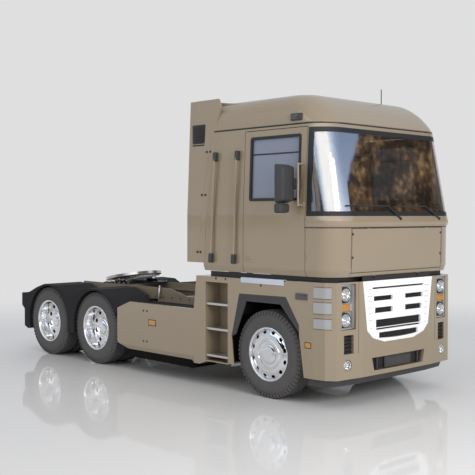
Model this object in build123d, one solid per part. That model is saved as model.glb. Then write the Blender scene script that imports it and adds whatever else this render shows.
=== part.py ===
"""Three-axle cab-over road tractor, built as separate named pieces.

Lengths are millimetres. X is forward, Y is to the truck's left, Z is up.
X is measured from the front axle while the pieces are drawn, and every piece
is moved by the same shift at the end, so that the origin lies on the ground
under the middle of the outline.
"""

import os
from math import cos, radians, sin

from build123d import *

# ---------------------------------------------------------------- body
BODY_HALF_WIDTH = 1250.0
FRONT_X = 1107.0
TAIL_X = -5810.0
SKIN = 40.0
SEAM = 8.0
MOVING_GAP = 8.0

# ---------------------------------------------------------------- wheels
TYRE_RADIUS = 550.0
TYRE_BORE_RADIUS = 292.0
FRONT_TYRE_WIDTH = 300.0
REAR_TYRE_WIDTH = 276.0
TWIN_GAP = 44.0
RIM_FLANGE_RADIUS = 336.0
RIM_WALL = 12.0
FRONT_TYRE_INSET = 29.0
REAR_TYRE_INSET = 15.0
FRONT_TYRE_FACE_Y = BODY_HALF_WIDTH - FRONT_TYRE_INSET
REAR_TYRE_FACE_Y = BODY_HALF_WIDTH - REAR_TYRE_INSET
MIDDLE_AXLE_X = -3680.0
TANDEM_SPACING = 1320.0
REAR_AXLE_X = MIDDLE_AXLE_X - TANDEM_SPACING
HUB_RUN_GAP = 0.05
AXLE_SPINDLE_RADIUS = 62.0
AXLE_TUBE_RADIUS = 85.0

# ---------------------------------------------------------------- frame
RAIL_OUTER_Y = 430.0
RAIL_TOP_Z = 1060.0
RAIL_HEIGHT = 290.0
RAIL_FLANGE = 85.0
RAIL_WEB = 10.0
RAIL_FRONT_X = 900.0
RAIL_REAR_X = -5700.0
RAIL_BOTTOM_Z = RAIL_TOP_Z - RAIL_HEIGHT
SUBFRAME_TOP_Z = 1160.0
SUBFRAME_FRONT_X = -2860.0
SUBFRAME_REAR_X = -5250.0
TAIL_PLATE = 14.0
COUPLING_BOLT_X = 160.0
COUPLING_BOLT_Z = 100.0
COUPLING_HOLE_RADIUS = 10.5
COUPLING_Z = 900.0

# ---------------------------------------------------------------- steering
KINGPIN_INSET = 341.0
KINGPIN_Y = FRONT_TYRE_FACE_Y - KINGPIN_INSET
KINGPIN_RADIUS = 20.0
KINGPIN_BOSS_RADIUS = 38.0
KINGPIN_BOSS_HALF = 60.0
KNUCKLE_EYE_HEIGHT = 45.0
SPINDLE_RADIUS = 40.0
SPRING_HANG = 80.0
SPRING_Y = RAIL_OUTER_Y - 40.0
SPRING_HALF = 38.0

# ---------------------------------------------------------------- cab
CAB_FLOOR_Z = 1550.0
CAB_WALL = 60.0
GLASS_DEPTH = 20.0
CAB_REAR_X = -1200.0
ROOF_SEAM_Z = 3380.0
WAIST_Z = 2130.0
SCREEN_BASE_Z = 2280.0
SCREEN_TOP_Z = 3310.0
SCREEN_EDGE_X = 678.0
SCREEN_REBATE = 55.0
CAB_PIVOT_X = 1065.0
CAB_PIVOT_Z = 1526.0
CAB_PIVOT_Y = 450.0
CAB_PIN_RADIUS = 8.0
CAB_EYE_RADIUS = 17.0
CAB_EYE_WIDTH = 60.0

# z, front x, half width, front corner radius, rear corner radius
CAB_SECTIONS = [
    (CAB_FLOOR_Z, 1060.0, BODY_HALF_WIDTH - 28.0, 262.0, 62.0),
    (1625.0, 1086.0, BODY_HALF_WIDTH, 290.0, 64.0),
    (SCREEN_BASE_Z, 1100.0, BODY_HALF_WIDTH - 3.0, 300.0, 110.0),
    (ROOF_SEAM_Z, 895.0, BODY_HALF_WIDTH - 48.0, 290.0, 220.0),
]
ROOF_SECTIONS = [
    (ROOF_SEAM_Z, 895.0, BODY_HALF_WIDTH - 48.0, 290.0, 220.0),
    (3520.0, 785.0, BODY_HALF_WIDTH - 60.0, 285.0, 215.0),
    (3640.0, 655.0, BODY_HALF_WIDTH - 100.0, 270.0, 200.0),
    (3725.0, 530.0, BODY_HALF_WIDTH - 180.0, 240.0, 170.0),
    (3770.0, 380.0, BODY_HALF_WIDTH - 300.0, 200.0, 140.0),
]
# the same sides carried on behind the cab, for the wind deflectors
DEFLECTOR_SECTIONS = [
    (1600.0, BODY_HALF_WIDTH - 1.0),
    (SCREEN_BASE_Z, BODY_HALF_WIDTH - 3.0),
    (ROOF_SEAM_Z, BODY_HALF_WIDTH - 48.0),
    (3820.0, BODY_HALF_WIDTH - 66.0),
]
DEFLECTOR_BRACKETS = [(1900.0, 22.0), (2700.0, 40.0), (3300.0, 66.0)]
DEFLECTOR_THICKNESS = 30.0
DEFLECTOR_OUTLINE = [
    (-1494.0, 1650.0), (-1494.0, 2500.0), (-1389.0, 3806.0), (-940.0, 3806.0), (-888.0, 3689.0),
    (-987.0, 3371.0), (-1066.0, 3205.0), (-1147.0, 2747.0), (-1230.0, 2083.0), (-1242.0, 1749.0),
    (-1242.0, 1650.0),
]

# ---------------------------------------------------------------- doors
DOOR_REAR_X = -403.0
DOOR_FRONT_X = 643.0
DOOR_TOP_Z = 3330.0
DOOR_WINDOW = (-300.0, 550.0, 2460.0, 3250.0)
HINGE_SET_BACK = 12.0
HINGE_DEPTH = 10.0
HINGE_PIN_RADIUS = 5.0
HINGE_BARREL_RADIUS = 10.0
HINGE_BARREL_HALF = 30.0
HINGE_END_GAP = 3.0
DOOR_HINGE_Z = [1780.0, 2190.0]
MIRROR_TUBE_OUT = 100.0
FLAP_HALF_WIDTH = 915.0
FLAP_BOTTOM_Z = 1600.0
FLAP_THICKNESS = 30.0
FLAP_HINGE_Y = [-600.0, 600.0]

# ---------------------------------------------------------------- front module
MODULE_TOP_Z = 1490.0
MODULE_BOTTOM_Z = 345.0
MODULE_REAR_X = 563.0
FOLD_X = 775.0
# outline in plan, from the side fold to the middle
MODULE_PLAN = [
    (FOLD_X, BODY_HALF_WIDTH), (949.0, BODY_HALF_WIDTH - 18.0), (1056.0, BODY_HALF_WIDTH - 100.0),
    (1098.0, 735.0), (FRONT_X, 196.0),
]
LAMP_CENTRE_Y = BODY_HALF_WIDTH - 298.0
LAMP_OFFSET = 25.0
LAMP_RADIUS = 80.0
FOG_Y = LAMP_CENTRE_Y + 16.0
FOG_Z = 512.0
FOG_RADIUS = 60.0
FOG_TUBE_RADIUS = 66.0
SIDE_LAMPS = [(493.0, 697.0, 1270.0, 1352.0), (650.0, 740.0, 709.0, 766.0), (-2346.0, -2176.0, 716.0, 787.0)]
SIDE_LAMP_DEPTH = 8.0
LAMP_HALF_WIDTH = 120.0
LAMP_BOTTOM_Z = 930.0
LAMP_TOP_Z = 1470.0
GRILLE_TOP = (716.0, 1500.0)
GRILLE_LOW = (630.0, 893.0)
GRILLE_BOTTOM = (520.0, 800.0)
GRILLE_MID_Z = 738.0
INTAKE = (545.0, 500.0, 400.0, 558.0)

# ---------------------------------------------------------------- arches
# outer edge of the arch trim, rear half and front half, in X and Z
ARCH_REAR = [(-618.0, 722.0), (-476.0, 1282.0)]
ARCH_FRONT = [(336.0, 1290.0), (553.0, 968.0), (560.0, 813.0)]
ARCH_INNER = [(555.0, 813.0), (551.0, 877.0), (247.0, 1192.0), (-346.0, 1192.0), (-538.0, 757.0)]
ARCH_TRIM = 12.0
LINER_INNER_Y = 700.0

# ---------------------------------------------------------------- steps and skirts
STEP_REAR_X = -1360.0
WELL_REAR_X = -1120.0
WELL_FRONT_X = -690.0
WELL_TOP_Z = 1400.0
STEP_BOTTOM_Z = 345.0
STEP_INNER_Y = BODY_HALF_WIDTH - 340.0
STEP_DEPTH_Y = BODY_HALF_WIDTH - 260.0
TREAD_HEIGHTS = [425.0, 780.0, 1110.0]
SKIRT_REAR_X = -3090.0
SKIRT_TOP_Z = 1017.0
SKIRT_BOTTOM_Z = 285.0
DECK_Z = 945.0

# ---------------------------------------------------------------- fenders
ARCH_GAP = 24.0
ARCH_RADIUS = TYRE_RADIUS + ARCH_GAP
FENDER_INNER_Y = 550.0
FENDER_FOOT_Z = TYRE_RADIUS + 150.0
# axle, bearing from its front horizontal in degrees, thickness above the arch
FENDER_CROWN = [
    (MIDDLE_AXLE_X, 28.2, 82.0), (MIDDLE_AXLE_X, 33.7, 120.0), (MIDDLE_AXLE_X, 55.0, 42.7),
    (MIDDLE_AXLE_X, 76.1, 42.0), (MIDDLE_AXLE_X, 104.0, 46.4), (MIDDLE_AXLE_X, 119.7, 71.0),
    (MIDDLE_AXLE_X, 132.3, 88.6), (MIDDLE_AXLE_X, 143.96, 192.7), (REAR_AXLE_X, 37.8, 134.9),
    (REAR_AXLE_X, 52.4, 82.0), (REAR_AXLE_X, 67.6, 66.3), (REAR_AXLE_X, 100.5, 36.0),
    (REAR_AXLE_X, 122.0, 57.2), (REAR_AXLE_X, 143.6, 159.0),
]
FENDER_TAIL = (760.0, 966.0)
TAIL_LAMP = (760.0, 1180.0, 790.0, 900.0)
TAIL_LAMP_DEPTH = 30.0

# ---------------------------------------------------------------- fifth wheel
FIFTH_X = -4320.0
FIFTH_TOP_Z = 1300.0
FIFTH_RADIUS = 462.0
FIFTH_PLATE = 42.0
FIFTH_REST_TILT = -10.5
FIFTH_PIVOT_DROP = 80.0
FIFTH_PIVOT_FORWARD = 60.0
FIFTH_PIN_RADIUS = 22.0
KINGPIN_BORE_RADIUS = 25.6

WIPER_X = 1128.0
WIPER_RADIUS = 8.0
SHIFT_X = -(WIPER_X + WIPER_RADIUS + TAIL_X) / 2


# ================================================================ helpers
def box(x0, x1, y0, y1, z0, z1):
    """A block between two corners."""
    return Pos((x0 + x1) / 2, (y0 + y1) / 2, (z0 + z1) / 2) * Box(x1 - x0, y1 - y0, z1 - z0)


def side_prism(points, y0, y1):
    """An outline in X and Z, carried from y0 to y1."""
    plane = Plane(origin=(0, y1, 0), x_dir=(1, 0, 0), z_dir=(0, -1, 0))
    return extrude(plane * make_face(Polyline(*points, close=True)), y1 - y0)


def plan_prism(points, z0, z1):
    """An outline in X and Y, carried from z0 to z1."""
    return extrude(Pos(0, 0, z0) * make_face(Polyline(*points, close=True)), z1 - z0)


def front_prism(points, x0, x1):
    """An outline in Y and Z, carried from x0 to x1."""
    plane = Plane(origin=(x0, 0, 0), x_dir=(0, 1, 0), z_dir=(1, 0, 0))
    return extrude(plane * make_face(Polyline(*points, close=True)), x1 - x0)


def cross_rod(x, z, y0, y1, radius):
    """A round bar along Y."""
    return Pos(x, (y0 + y1) / 2, z) * Rot(90, 0, 0) * Cylinder(radius, y1 - y0)


def long_rod(y, z, x0, x1, radius):
    """A round bar along X."""
    return Pos((x0 + x1) / 2, y, z) * Rot(0, 90, 0) * Cylinder(radius, x1 - x0)


def post(x, y, z0, z1, radius):
    """A round bar along Z."""
    return Pos(x, y, (z0 + z1) / 2) * Cylinder(radius, z1 - z0)


def bar(start, end, radius):
    """A round bar between two points."""
    reach = Vector(*end) - Vector(*start)
    plane = Plane(origin=start, z_dir=reach)
    return extrude(plane * Circle(radius), reach.length)


def mirrored(shape):
    """The same piece on the truck's other side."""
    return mirror(shape, about=Plane.XZ)


def both_sides(shape):
    """A piece and its mirror image, as one node."""
    return Compound(children=[*shape.solids(), *mirrored(shape).solids()])


def spun(points, x, side):
    """A profile of (distance out along Y, radius) turned about a wheel's axle."""
    face = make_face(Polyline(*[(radius, out) for out, radius in points], close=True))
    solid = revolve(face, Axis.Y, 360)
    turned = solid if side > 0 else mirrored(solid)
    return Pos(x, 0, TYRE_RADIUS) * turned


def outline_face(z, rear_x, front_x, half_width, front_radius, rear_radius):
    """One level of the cab: a rectangle with rounded front and rear corners."""
    front = front_x - front_radius
    rear = rear_x + rear_radius
    side = half_width
    with BuildLine() as line:
        Line((rear, -side), (front, -side))
        RadiusArc((front, -side), (front_x, -side + front_radius), -front_radius)
        Line((front_x, -side + front_radius), (front_x, side - front_radius))
        RadiusArc((front_x, side - front_radius), (front, side), -front_radius)
        Line((front, side), (rear, side))
        RadiusArc((rear, side), (rear_x, side - rear_radius), -rear_radius)
        Line((rear_x, side - rear_radius), (rear_x, -side + rear_radius))
        RadiusArc((rear_x, -side + rear_radius), (rear, -side), -rear_radius)
    return Pos(0, 0, z) * make_face(line.line)


def cab_body(sections, inset, floor=0.0):
    """The cab's outline as a solid, drawn in by an inset on every side."""
    levels = []
    for z, front_x, half_width, front_radius, rear_radius in sections:
        levels.append(outline_face(
            z + floor if z == sections[0][0] else z,
            CAB_REAR_X + inset, front_x - inset, half_width - inset,
            front_radius - inset, max(rear_radius - inset, 5.0)))
    return loft(levels, ruled=True)


def flush_hinge(origin, x_dir, z_dir):
    """A hinge set in a seam. Its leaf lies toward -X of the local frame, and swings out toward -Y.

    Returns the notch and the pin of the fixed side, and the barrel and the notch of the leaf.
    """
    place = Location(Plane(origin=origin, x_dir=x_dir, z_dir=z_dir))
    half = HINGE_BARREL_HALF
    room = HINGE_BARREL_RADIUS + 5.0
    notch = Pos(0, -room, 0) * Box(2 * room, 4 * room, 2 * (half + HINGE_END_GAP))
    pin = Cylinder(HINGE_PIN_RADIUS, 2 * (half + HINGE_END_GAP))
    barrel = Cylinder(HINGE_BARREL_RADIUS, 2 * half)
    barrel += Pos(-HINGE_SET_BACK, 0, 0) * Box(2 * HINGE_SET_BACK, 8.0, 2 * half)
    barrel -= Cylinder(HINGE_PIN_RADIUS + HUB_RUN_GAP, 4 * half)
    return place * notch, place * pin, place * barrel


# ================================================================ wheels
def tyre_ring(face_y, width):
    """A tyre's section: tread, shoulders and walls."""
    inner = face_y - width
    lip = width * 0.09
    crown = width * 0.13
    return [
        (inner + lip, TYRE_BORE_RADIUS), (face_y - lip, TYRE_BORE_RADIUS),
        (face_y, TYRE_BORE_RADIUS + 110.0), (face_y - 6.0, TYRE_RADIUS - 42.0), (face_y - crown, TYRE_RADIUS),
        (inner + crown, TYRE_RADIUS), (inner + 6.0, TYRE_RADIUS - 42.0), (inner, TYRE_BORE_RADIUS + 110.0),
    ]


def rim_section(face_y, width, disc_y, hub_radius, hub_out):
    """A wheel's section: an open barrel, a disc and a hub."""
    lip = width * 0.09
    seat = TYRE_BORE_RADIUS - 0.3
    inner = face_y - width
    return [
        (inner + lip, seat), (face_y - lip + 4.5, seat), (face_y - lip + 4.5, RIM_FLANGE_RADIUS - 30.0),
        (face_y - lip + 14.0, RIM_FLANGE_RADIUS - 30.0), (face_y - lip + 14.0, seat - RIM_WALL),
        (disc_y, seat - RIM_WALL - 10.0), (disc_y, 160.0), (disc_y + hub_out, 115.0), (disc_y + hub_out, 0.0),
        (disc_y + hub_out - 20.0, 0.0), (disc_y + hub_out - 20.0, hub_radius), (disc_y - 110.0, hub_radius),
        (disc_y - 110.0, 120.0), (disc_y - 22.0, 150.0), (disc_y - 22.0, seat - RIM_WALL - 14.0),
        (inner + lip, seat - RIM_WALL),
    ]


def front_wheel(side):
    """A steered wheel: its tyre and its rim."""
    tyre = spun(tyre_ring(FRONT_TYRE_FACE_Y, FRONT_TYRE_WIDTH), 0.0, side)
    section = rim_section(FRONT_TYRE_FACE_Y, FRONT_TYRE_WIDTH, FRONT_TYRE_FACE_Y - 35.0,
                          SPINDLE_RADIUS + HUB_RUN_GAP, 30.0)
    return tyre, spun(section, 0.0, side)


def twin_wheel(x, side):
    """A driven wheel pair: two tyres and the rims that carry them."""
    outer = REAR_TYRE_FACE_Y
    inner = outer - REAR_TYRE_WIDTH - TWIN_GAP
    tyres = Compound(children=[
        spun(tyre_ring(outer, REAR_TYRE_WIDTH), x, side),
        spun(tyre_ring(inner, REAR_TYRE_WIDTH), x, side)])
    lip = REAR_TYRE_WIDTH * 0.09
    seat = TYRE_BORE_RADIUS - 0.3
    wall = seat - RIM_WALL
    disc = outer - REAR_TYRE_WIDTH + 30.0
    back = inner - REAR_TYRE_WIDTH + lip
    hub = AXLE_SPINDLE_RADIUS + HUB_RUN_GAP
    section = [
        (back, seat), (outer - lip + 4.5, seat), (outer - lip + 4.5, RIM_FLANGE_RADIUS - 30.0),
        (outer - lip + 14.0, RIM_FLANGE_RADIUS - 30.0), (outer - lip + 14.0, wall), (disc, wall - 10.0),
        (disc, 150.0), (disc + 90.0, 115.0), (disc + 90.0, 0.0), (disc + 70.0, 0.0), (disc + 70.0, hub),
        (disc - 160.0, hub), (disc - 160.0, 130.0), (disc - 24.0, 150.0), (disc - 24.0, wall - 14.0),
        (back, wall),
    ]
    return tyres, spun(section, x, side)


def knuckle(side):
    """A steering knuckle: two eyes about the kingpin, a web and the wheel's spindle."""
    half = KINGPIN_BOSS_HALF + 3.0
    top = half + KNUCKLE_EYE_HEIGHT
    web_in = KINGPIN_Y + KINGPIN_BOSS_RADIUS + MOVING_GAP
    web_out = web_in + 28.0
    eye = KINGPIN_BOSS_RADIUS + 6.0
    body = box(-eye, eye, web_in, web_out, TYRE_RADIUS - top, TYRE_RADIUS + top)
    for low, high in [(-top, -half), (half, top)]:
        body += box(-eye, eye, KINGPIN_Y, web_in + 1.0, TYRE_RADIUS + low, TYRE_RADIUS + high)
        body += post(0.0, KINGPIN_Y, TYRE_RADIUS + low, TYRE_RADIUS + high, eye)
    body -= post(0.0, KINGPIN_Y, TYRE_RADIUS - 2 * top, TYRE_RADIUS + 2 * top, KINGPIN_RADIUS + HUB_RUN_GAP)
    body += cross_rod(0.0, TYRE_RADIUS, web_out - 1.0, FRONT_TYRE_FACE_Y - 35.0 - 1.0, SPINDLE_RADIUS)
    return body if side > 0 else mirrored(body)


# ================================================================ frame
def frame_rails():
    """Two channel rails, the raised rear subframe, cross members and brackets."""
    rail = box(RAIL_REAR_X, RAIL_FRONT_X, RAIL_OUTER_Y - RAIL_WEB, RAIL_OUTER_Y, RAIL_BOTTOM_Z, RAIL_TOP_Z)
    for low in (RAIL_BOTTOM_Z, RAIL_TOP_Z - RAIL_WEB):
        rail += box(RAIL_REAR_X, RAIL_FRONT_X, RAIL_OUTER_Y - RAIL_FLANGE, RAIL_OUTER_Y, low, low + RAIL_WEB)
    slope = SUBFRAME_TOP_Z - RAIL_TOP_Z
    rail += side_prism([
        (SUBFRAME_REAR_X, RAIL_TOP_Z), (SUBFRAME_REAR_X + slope, SUBFRAME_TOP_Z),
        (SUBFRAME_FRONT_X, SUBFRAME_TOP_Z), (SUBFRAME_FRONT_X + 4 * slope, RAIL_TOP_Z)],
        RAIL_OUTER_Y - 14.0, RAIL_OUTER_Y + 4.0)
    frame = rail + mirrored(rail)
    inner = RAIL_OUTER_Y - RAIL_WEB
    for x in (-5350.0, -4340.0, -3000.0, -1850.0):
        frame += box(x - 60.0, x + 60.0, -inner, inner, RAIL_BOTTOM_Z + 60.0, RAIL_TOP_Z - 60.0)
    frame += box(RAIL_FRONT_X - 1.0, RAIL_FRONT_X + 60.0, -760.0, 760.0, 600.0, RAIL_TOP_Z - 60.0)
    return frame


def tail_member():
    """The rear cross member, with the bolt holes for a tow coupling."""
    plate = box(RAIL_REAR_X - TAIL_PLATE, RAIL_REAR_X, -RAIL_OUTER_Y, RAIL_OUTER_Y, RAIL_BOTTOM_Z, RAIL_TOP_Z)
    for y in (-COUPLING_BOLT_X / 2, COUPLING_BOLT_X / 2):
        for z in (COUPLING_Z - COUPLING_BOLT_Z / 2, COUPLING_Z + COUPLING_BOLT_Z / 2):
            plate -= long_rod(y, z, RAIL_REAR_X - 2 * TAIL_PLATE, RAIL_REAR_X + TAIL_PLATE, COUPLING_HOLE_RADIUS)
    return plate


def engine_block():
    """Engine and radiator, as one plain mass between the rails."""
    block = box(-880.0, 420.0, -335.0, 335.0, 640.0, 1460.0)
    block += box(419.0, 640.0, -300.0, 300.0, 800.0, 1250.0)
    block += box(-600.0, -500.0, -RAIL_OUTER_Y + RAIL_WEB, RAIL_OUTER_Y - RAIL_WEB,
                 RAIL_BOTTOM_Z + RAIL_WEB, RAIL_BOTTOM_Z + 90.0)
    block += box(639.0, 760.0, -335.0, 335.0, 620.0, 1440.0)
    return block


def gearbox():
    """Gearbox and the shaft that leads back to the axles."""
    case = side_prism([(-1640.0, 760.0), (-1640.0, 1000.0), (-1240.0, 1090.0), (-880.0, 1200.0),
                       (-880.0, 640.0), (-1300.0, 620.0)], -260.0, 260.0)
    case += bar((-1600.0, 0.0, 740.0), (MIDDLE_AXLE_X + 294.6, 0.0, TYRE_RADIUS + 40.0), 55.0)
    return case


def front_axle():
    """Dropped beam, kingpin bosses, kingpins and leaf springs."""
    hub = TYRE_RADIUS
    tip = RAIL_BOTTOM_Z - SPRING_HANG
    rise = KINGPIN_Y - 280.0
    beam = front_prism([
        (-KINGPIN_Y, hub + 40.0), (-rise, hub - 50.0), (-480.0, hub - 100.0), (480.0, hub - 100.0),
        (rise, hub - 50.0), (KINGPIN_Y, hub + 40.0), (KINGPIN_Y, hub - 50.0), (rise + 20.0, hub - 150.0),
        (500.0, hub - 200.0), (-500.0, hub - 200.0), (-rise - 20.0, hub - 150.0), (-KINGPIN_Y, hub - 50.0)],
        -50.0, 50.0)
    for y in (-KINGPIN_Y, KINGPIN_Y):
        beam -= post(0.0, y, 0.0, 2 * hub, KINGPIN_BOSS_RADIUS + 40.0)
        beam += post(0.0, y, hub - KINGPIN_BOSS_HALF, hub + KINGPIN_BOSS_HALF, KINGPIN_BOSS_RADIUS)
        reach = KINGPIN_BOSS_HALF + KNUCKLE_EYE_HEIGHT + 15.0
        beam += post(0.0, y, hub - reach, hub + reach, KINGPIN_RADIUS)
        inner = y - (KINGPIN_BOSS_RADIUS + 50.0) * (1 if y > 0 else -1)
        beam += box(-30.0, 30.0, min(y, inner), max(y, inner), hub - 50.0, hub + 40.0)
    for y in (-SPRING_Y, SPRING_Y):
        beam += box(-60.0, 60.0, y - 40.0, y + 40.0, hub - 101.0, hub - 20.0)
        beam += side_prism([(-760.0, tip), (-400.0, hub + 30.0), (0.0, hub - 20.0), (400.0, hub + 30.0), (760.0, tip),
                            (760.0, tip - 30.0), (400.0, hub - 5.0), (0.0, hub - 60.0), (-400.0, hub - 5.0),
                            (-760.0, tip - 30.0)], y - SPRING_HALF, y + SPRING_HALF)
        for x in (-740.0, 740.0):
            beam += box(x - 30.0, x + 30.0, y - SPRING_HALF, y + SPRING_HALF, tip - 20.0, RAIL_BOTTOM_Z)
    return beam


def rear_axles():
    """The two driven axles: housings, final drives and spindles."""
    hub_out = REAR_TYRE_FACE_Y - REAR_TYRE_WIDTH + 30.0
    housing = REAR_TYRE_FACE_Y - 2 * REAR_TYRE_WIDTH - TWIN_GAP - 29.0
    axles = None
    for x in (MIDDLE_AXLE_X, REAR_AXLE_X):
        axle = cross_rod(x, TYRE_RADIUS, -housing, housing, AXLE_TUBE_RADIUS)
        axle += cross_rod(x, TYRE_RADIUS, -hub_out - 60.0, hub_out + 60.0, AXLE_SPINDLE_RADIUS)
        axle += Pos(x, 0, TYRE_RADIUS) * Sphere(190.0)
        axle += long_rod(0.0, TYRE_RADIUS + 30.0, x + 100.0, x + 290.0, 80.0)
        axles = axle if axles is None else axles + axle
    return axles + long_rod(0.0, TYRE_RADIUS + 30.0, REAR_AXLE_X + 280.0, MIDDLE_AXLE_X - 150.0, 45.0)


def rear_suspension():
    """Springs and arms between the driven axles and the rails."""
    solids = []
    eye = RAIL_BOTTOM_Z - SPRING_HANG
    seat = TYRE_RADIUS + 70.0
    for x in (MIDDLE_AXLE_X, REAR_AXLE_X):
        for y in (-RAIL_OUTER_Y + 45.0, RAIL_OUTER_Y - 45.0):
            spring = box(x - 60.0, x + 60.0, y - 40.0, y + 40.0, seat, RAIL_BOTTOM_Z)
            spring += side_prism([(x + 600.0, eye), (x + 600.0, RAIL_BOTTOM_Z), (x + 520.0, RAIL_BOTTOM_Z),
                                  (x + 520.0, eye), (x + 50.0, seat + 30.0), (x + 50.0, seat), (x + 560.0, eye - 40.0)],
                                 y - 40.0, y + 40.0)
            spring -= cross_rod(x, TYRE_RADIUS, -RAIL_OUTER_Y, RAIL_OUTER_Y, AXLE_TUBE_RADIUS)
            solids += spring.solids()
    return Compound(children=solids)


# ================================================================ front module
def module_outline(inset):
    """The front module in plan: fold, chamfered corner and the shallow front."""
    half = [(x - inset, y - inset) for x, y in MODULE_PLAN]
    rear = MODULE_REAR_X - 40.0
    edge = BODY_HALF_WIDTH - inset
    return [(rear, edge), *half, *[(x, -y) for x, y in reversed(half)], (rear, -edge)]


def grille_outline(grow=0.0):
    """The shield of the grille: wide at the top, rounded at the foot."""
    half = [(GRILLE_TOP[0] + grow, GRILLE_TOP[1]), (GRILLE_LOW[0] + grow, GRILLE_LOW[1]),
            (GRILLE_BOTTOM[0] + grow, GRILLE_BOTTOM[1] - grow), (300.0, GRILLE_MID_Z - grow)]
    return [*half, *[(-y, z) for y, z in reversed(half)]]


def front_module():
    """The body-coloured shell below the cab, open for lamps, grille and air."""
    shell = plan_prism(module_outline(0.0), MODULE_BOTTOM_Z, MODULE_TOP_Z)
    shell -= plan_prism(module_outline(SKIN + 10.0), MODULE_BOTTOM_Z - 10.0, MODULE_TOP_Z + 10.0)
    shell &= side_prism([(FRONT_X + 10.0, MODULE_TOP_Z), (FRONT_X + 10.0, MODULE_BOTTOM_Z),
                         (633.0, MODULE_BOTTOM_Z), (MODULE_REAR_X, 813.0), *reversed(ARCH_FRONT),
                         (ARCH_FRONT[0][0], MODULE_TOP_Z)], -BODY_HALF_WIDTH, BODY_HALF_WIDTH)
    shell -= front_prism(grille_outline(4.0), 1000.0, FRONT_X + 10.0)
    for side in (-1, 1):
        y = side * LAMP_CENTRE_Y
        shell -= box(900.0, FRONT_X + 10.0, y - LAMP_HALF_WIDTH, y + LAMP_HALF_WIDTH, LAMP_BOTTOM_Z, LAMP_TOP_Z)
        shell -= box(900.0, FRONT_X + 10.0, y - 80.0, y + 80.0, 645.0, 868.0)
        shell -= long_rod(side * FOG_Y, FOG_Z, 900.0, FRONT_X + 10.0, FOG_TUBE_RADIUS)
    shell -= front_prism([(-INTAKE[0], INTAKE[3]), (INTAKE[0], INTAKE[3]), (INTAKE[1], INTAKE[2]),
                          (-INTAKE[1], INTAKE[2])], 900.0, FRONT_X + 10.0)
    for y in (-560.0, 560.0):
        shell += box(RAIL_FRONT_X + 60.0, 1062.0, y - 25.0, y + 25.0, 640.0, 700.0)
    return shell


def grille_panel():
    """The bright shield with its rows of slots."""
    panel = front_prism(grille_outline(), 1062.0, 1100.0)
    slots = [(-520.0, 520.0, 1387.0, 1408.0), (-500.0, -40.0, 1242.0, 1299.0), (40.0, 500.0, 1242.0, 1299.0),
             (-480.0, -40.0, 1094.0, 1160.0), (40.0, 480.0, 1094.0, 1160.0), (-460.0, 460.0, 918.0, 1012.0),
             (-455.0, 455.0, 888.0, 909.0), (-400.0, 400.0, 790.0, 853.0)]
    for y0, y1, z0, z1 in slots:
        panel -= box(1050.0, 1110.0, y0, y1, z0, z1)
    return panel


def grille_mesh():
    """The dark mesh behind the shield, and the trays behind intake and slots."""
    shell = front_module()
    mesh = box(1048.0, 1061.7, -540.0, 540.0, 770.0, 1430.0)
    mesh += box(RAIL_FRONT_X + 60.0, 1049.0, -120.0, 120.0, 780.0, 980.0)
    solids = list((mesh - shell).solids())
    solids += (box(RAIL_FRONT_X + 60.0, 1056.0, -570.0, 570.0, 372.0, 612.0) - shell).solids()
    for side in (-1, 1):
        y = side * LAMP_CENTRE_Y
        solids += (box(1000.0, 1040.0, y - 90.0, y + 90.0, 635.0, 878.0) - shell).solids()
    return Compound(children=solids)


def lamp_housings():
    """The bright pockets that hold the main lamps, and the fog lamps' tubes."""
    solids = []
    for side in (-1, 1):
        y = side * LAMP_CENTRE_Y
        pocket = box(985.0, 1050.0, y - LAMP_HALF_WIDTH, y + LAMP_HALF_WIDTH, LAMP_BOTTOM_Z, LAMP_TOP_Z)
        pocket -= box(1000.0, 1060.0, y - 105.0, y + 105.0, LAMP_BOTTOM_Z + 15.0, LAMP_TOP_Z - 15.0)
        solids += pocket.solids()
        solids += long_rod(side * FOG_Y, FOG_Z, 1000.0, 1030.0, FOG_TUBE_RADIUS).solids()
    return Compound(children=solids)


def lamp_lenses():
    """Head, fog and turn lamps, and the lamps along the sides."""
    solids = []
    outer = BODY_HALF_WIDTH + SIDE_LAMP_DEPTH
    for side in (-1, 1):
        y = side * (LAMP_CENTRE_Y + LAMP_OFFSET)
        solids += long_rod(y, 1341.0, 1000.0, 1045.0, LAMP_RADIUS).solids()
        solids += long_rod(y, 1037.0, 1000.0, 1045.0, LAMP_RADIUS).solids()
        solids += box(1000.0, 1040.0, y - LAMP_RADIUS, y + LAMP_RADIUS, 1148.0, 1228.0).solids()
        solids += long_rod(side * FOG_Y, FOG_Z, 1030.0, 1052.0, FOG_RADIUS).solids()
        for x0, x1, z0, z1 in SIDE_LAMPS:
            low = min(side * BODY_HALF_WIDTH, side * outer)
            high = max(side * BODY_HALF_WIDTH, side * outer)
            solids += box(x0, x1, low, high, z0, z1).solids()
    return Compound(children=solids)


def front_arches():
    """Dark arch trims over the steered wheels, with their liners."""
    face = BODY_HALF_WIDTH - ARCH_TRIM
    trim = side_prism([*ARCH_REAR, *ARCH_FRONT, *ARCH_INNER], face, BODY_HALF_WIDTH)
    trim += side_prism([(-462.0, 1278.0), (330.0, 1286.0), (330.0, 1250.0), (-455.0, 1250.0)], LINER_INNER_Y, face + 1.0)
    trim += side_prism([(329.0, 1286.0), (600.0, 1240.0), (700.0, 1100.0), (700.0, 1080.0), (590.0, 1205.0),
                        (329.0, 1250.0)], LINER_INNER_Y, BODY_HALF_WIDTH - SKIN - 15.0)
    return both_sides(trim)


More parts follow.
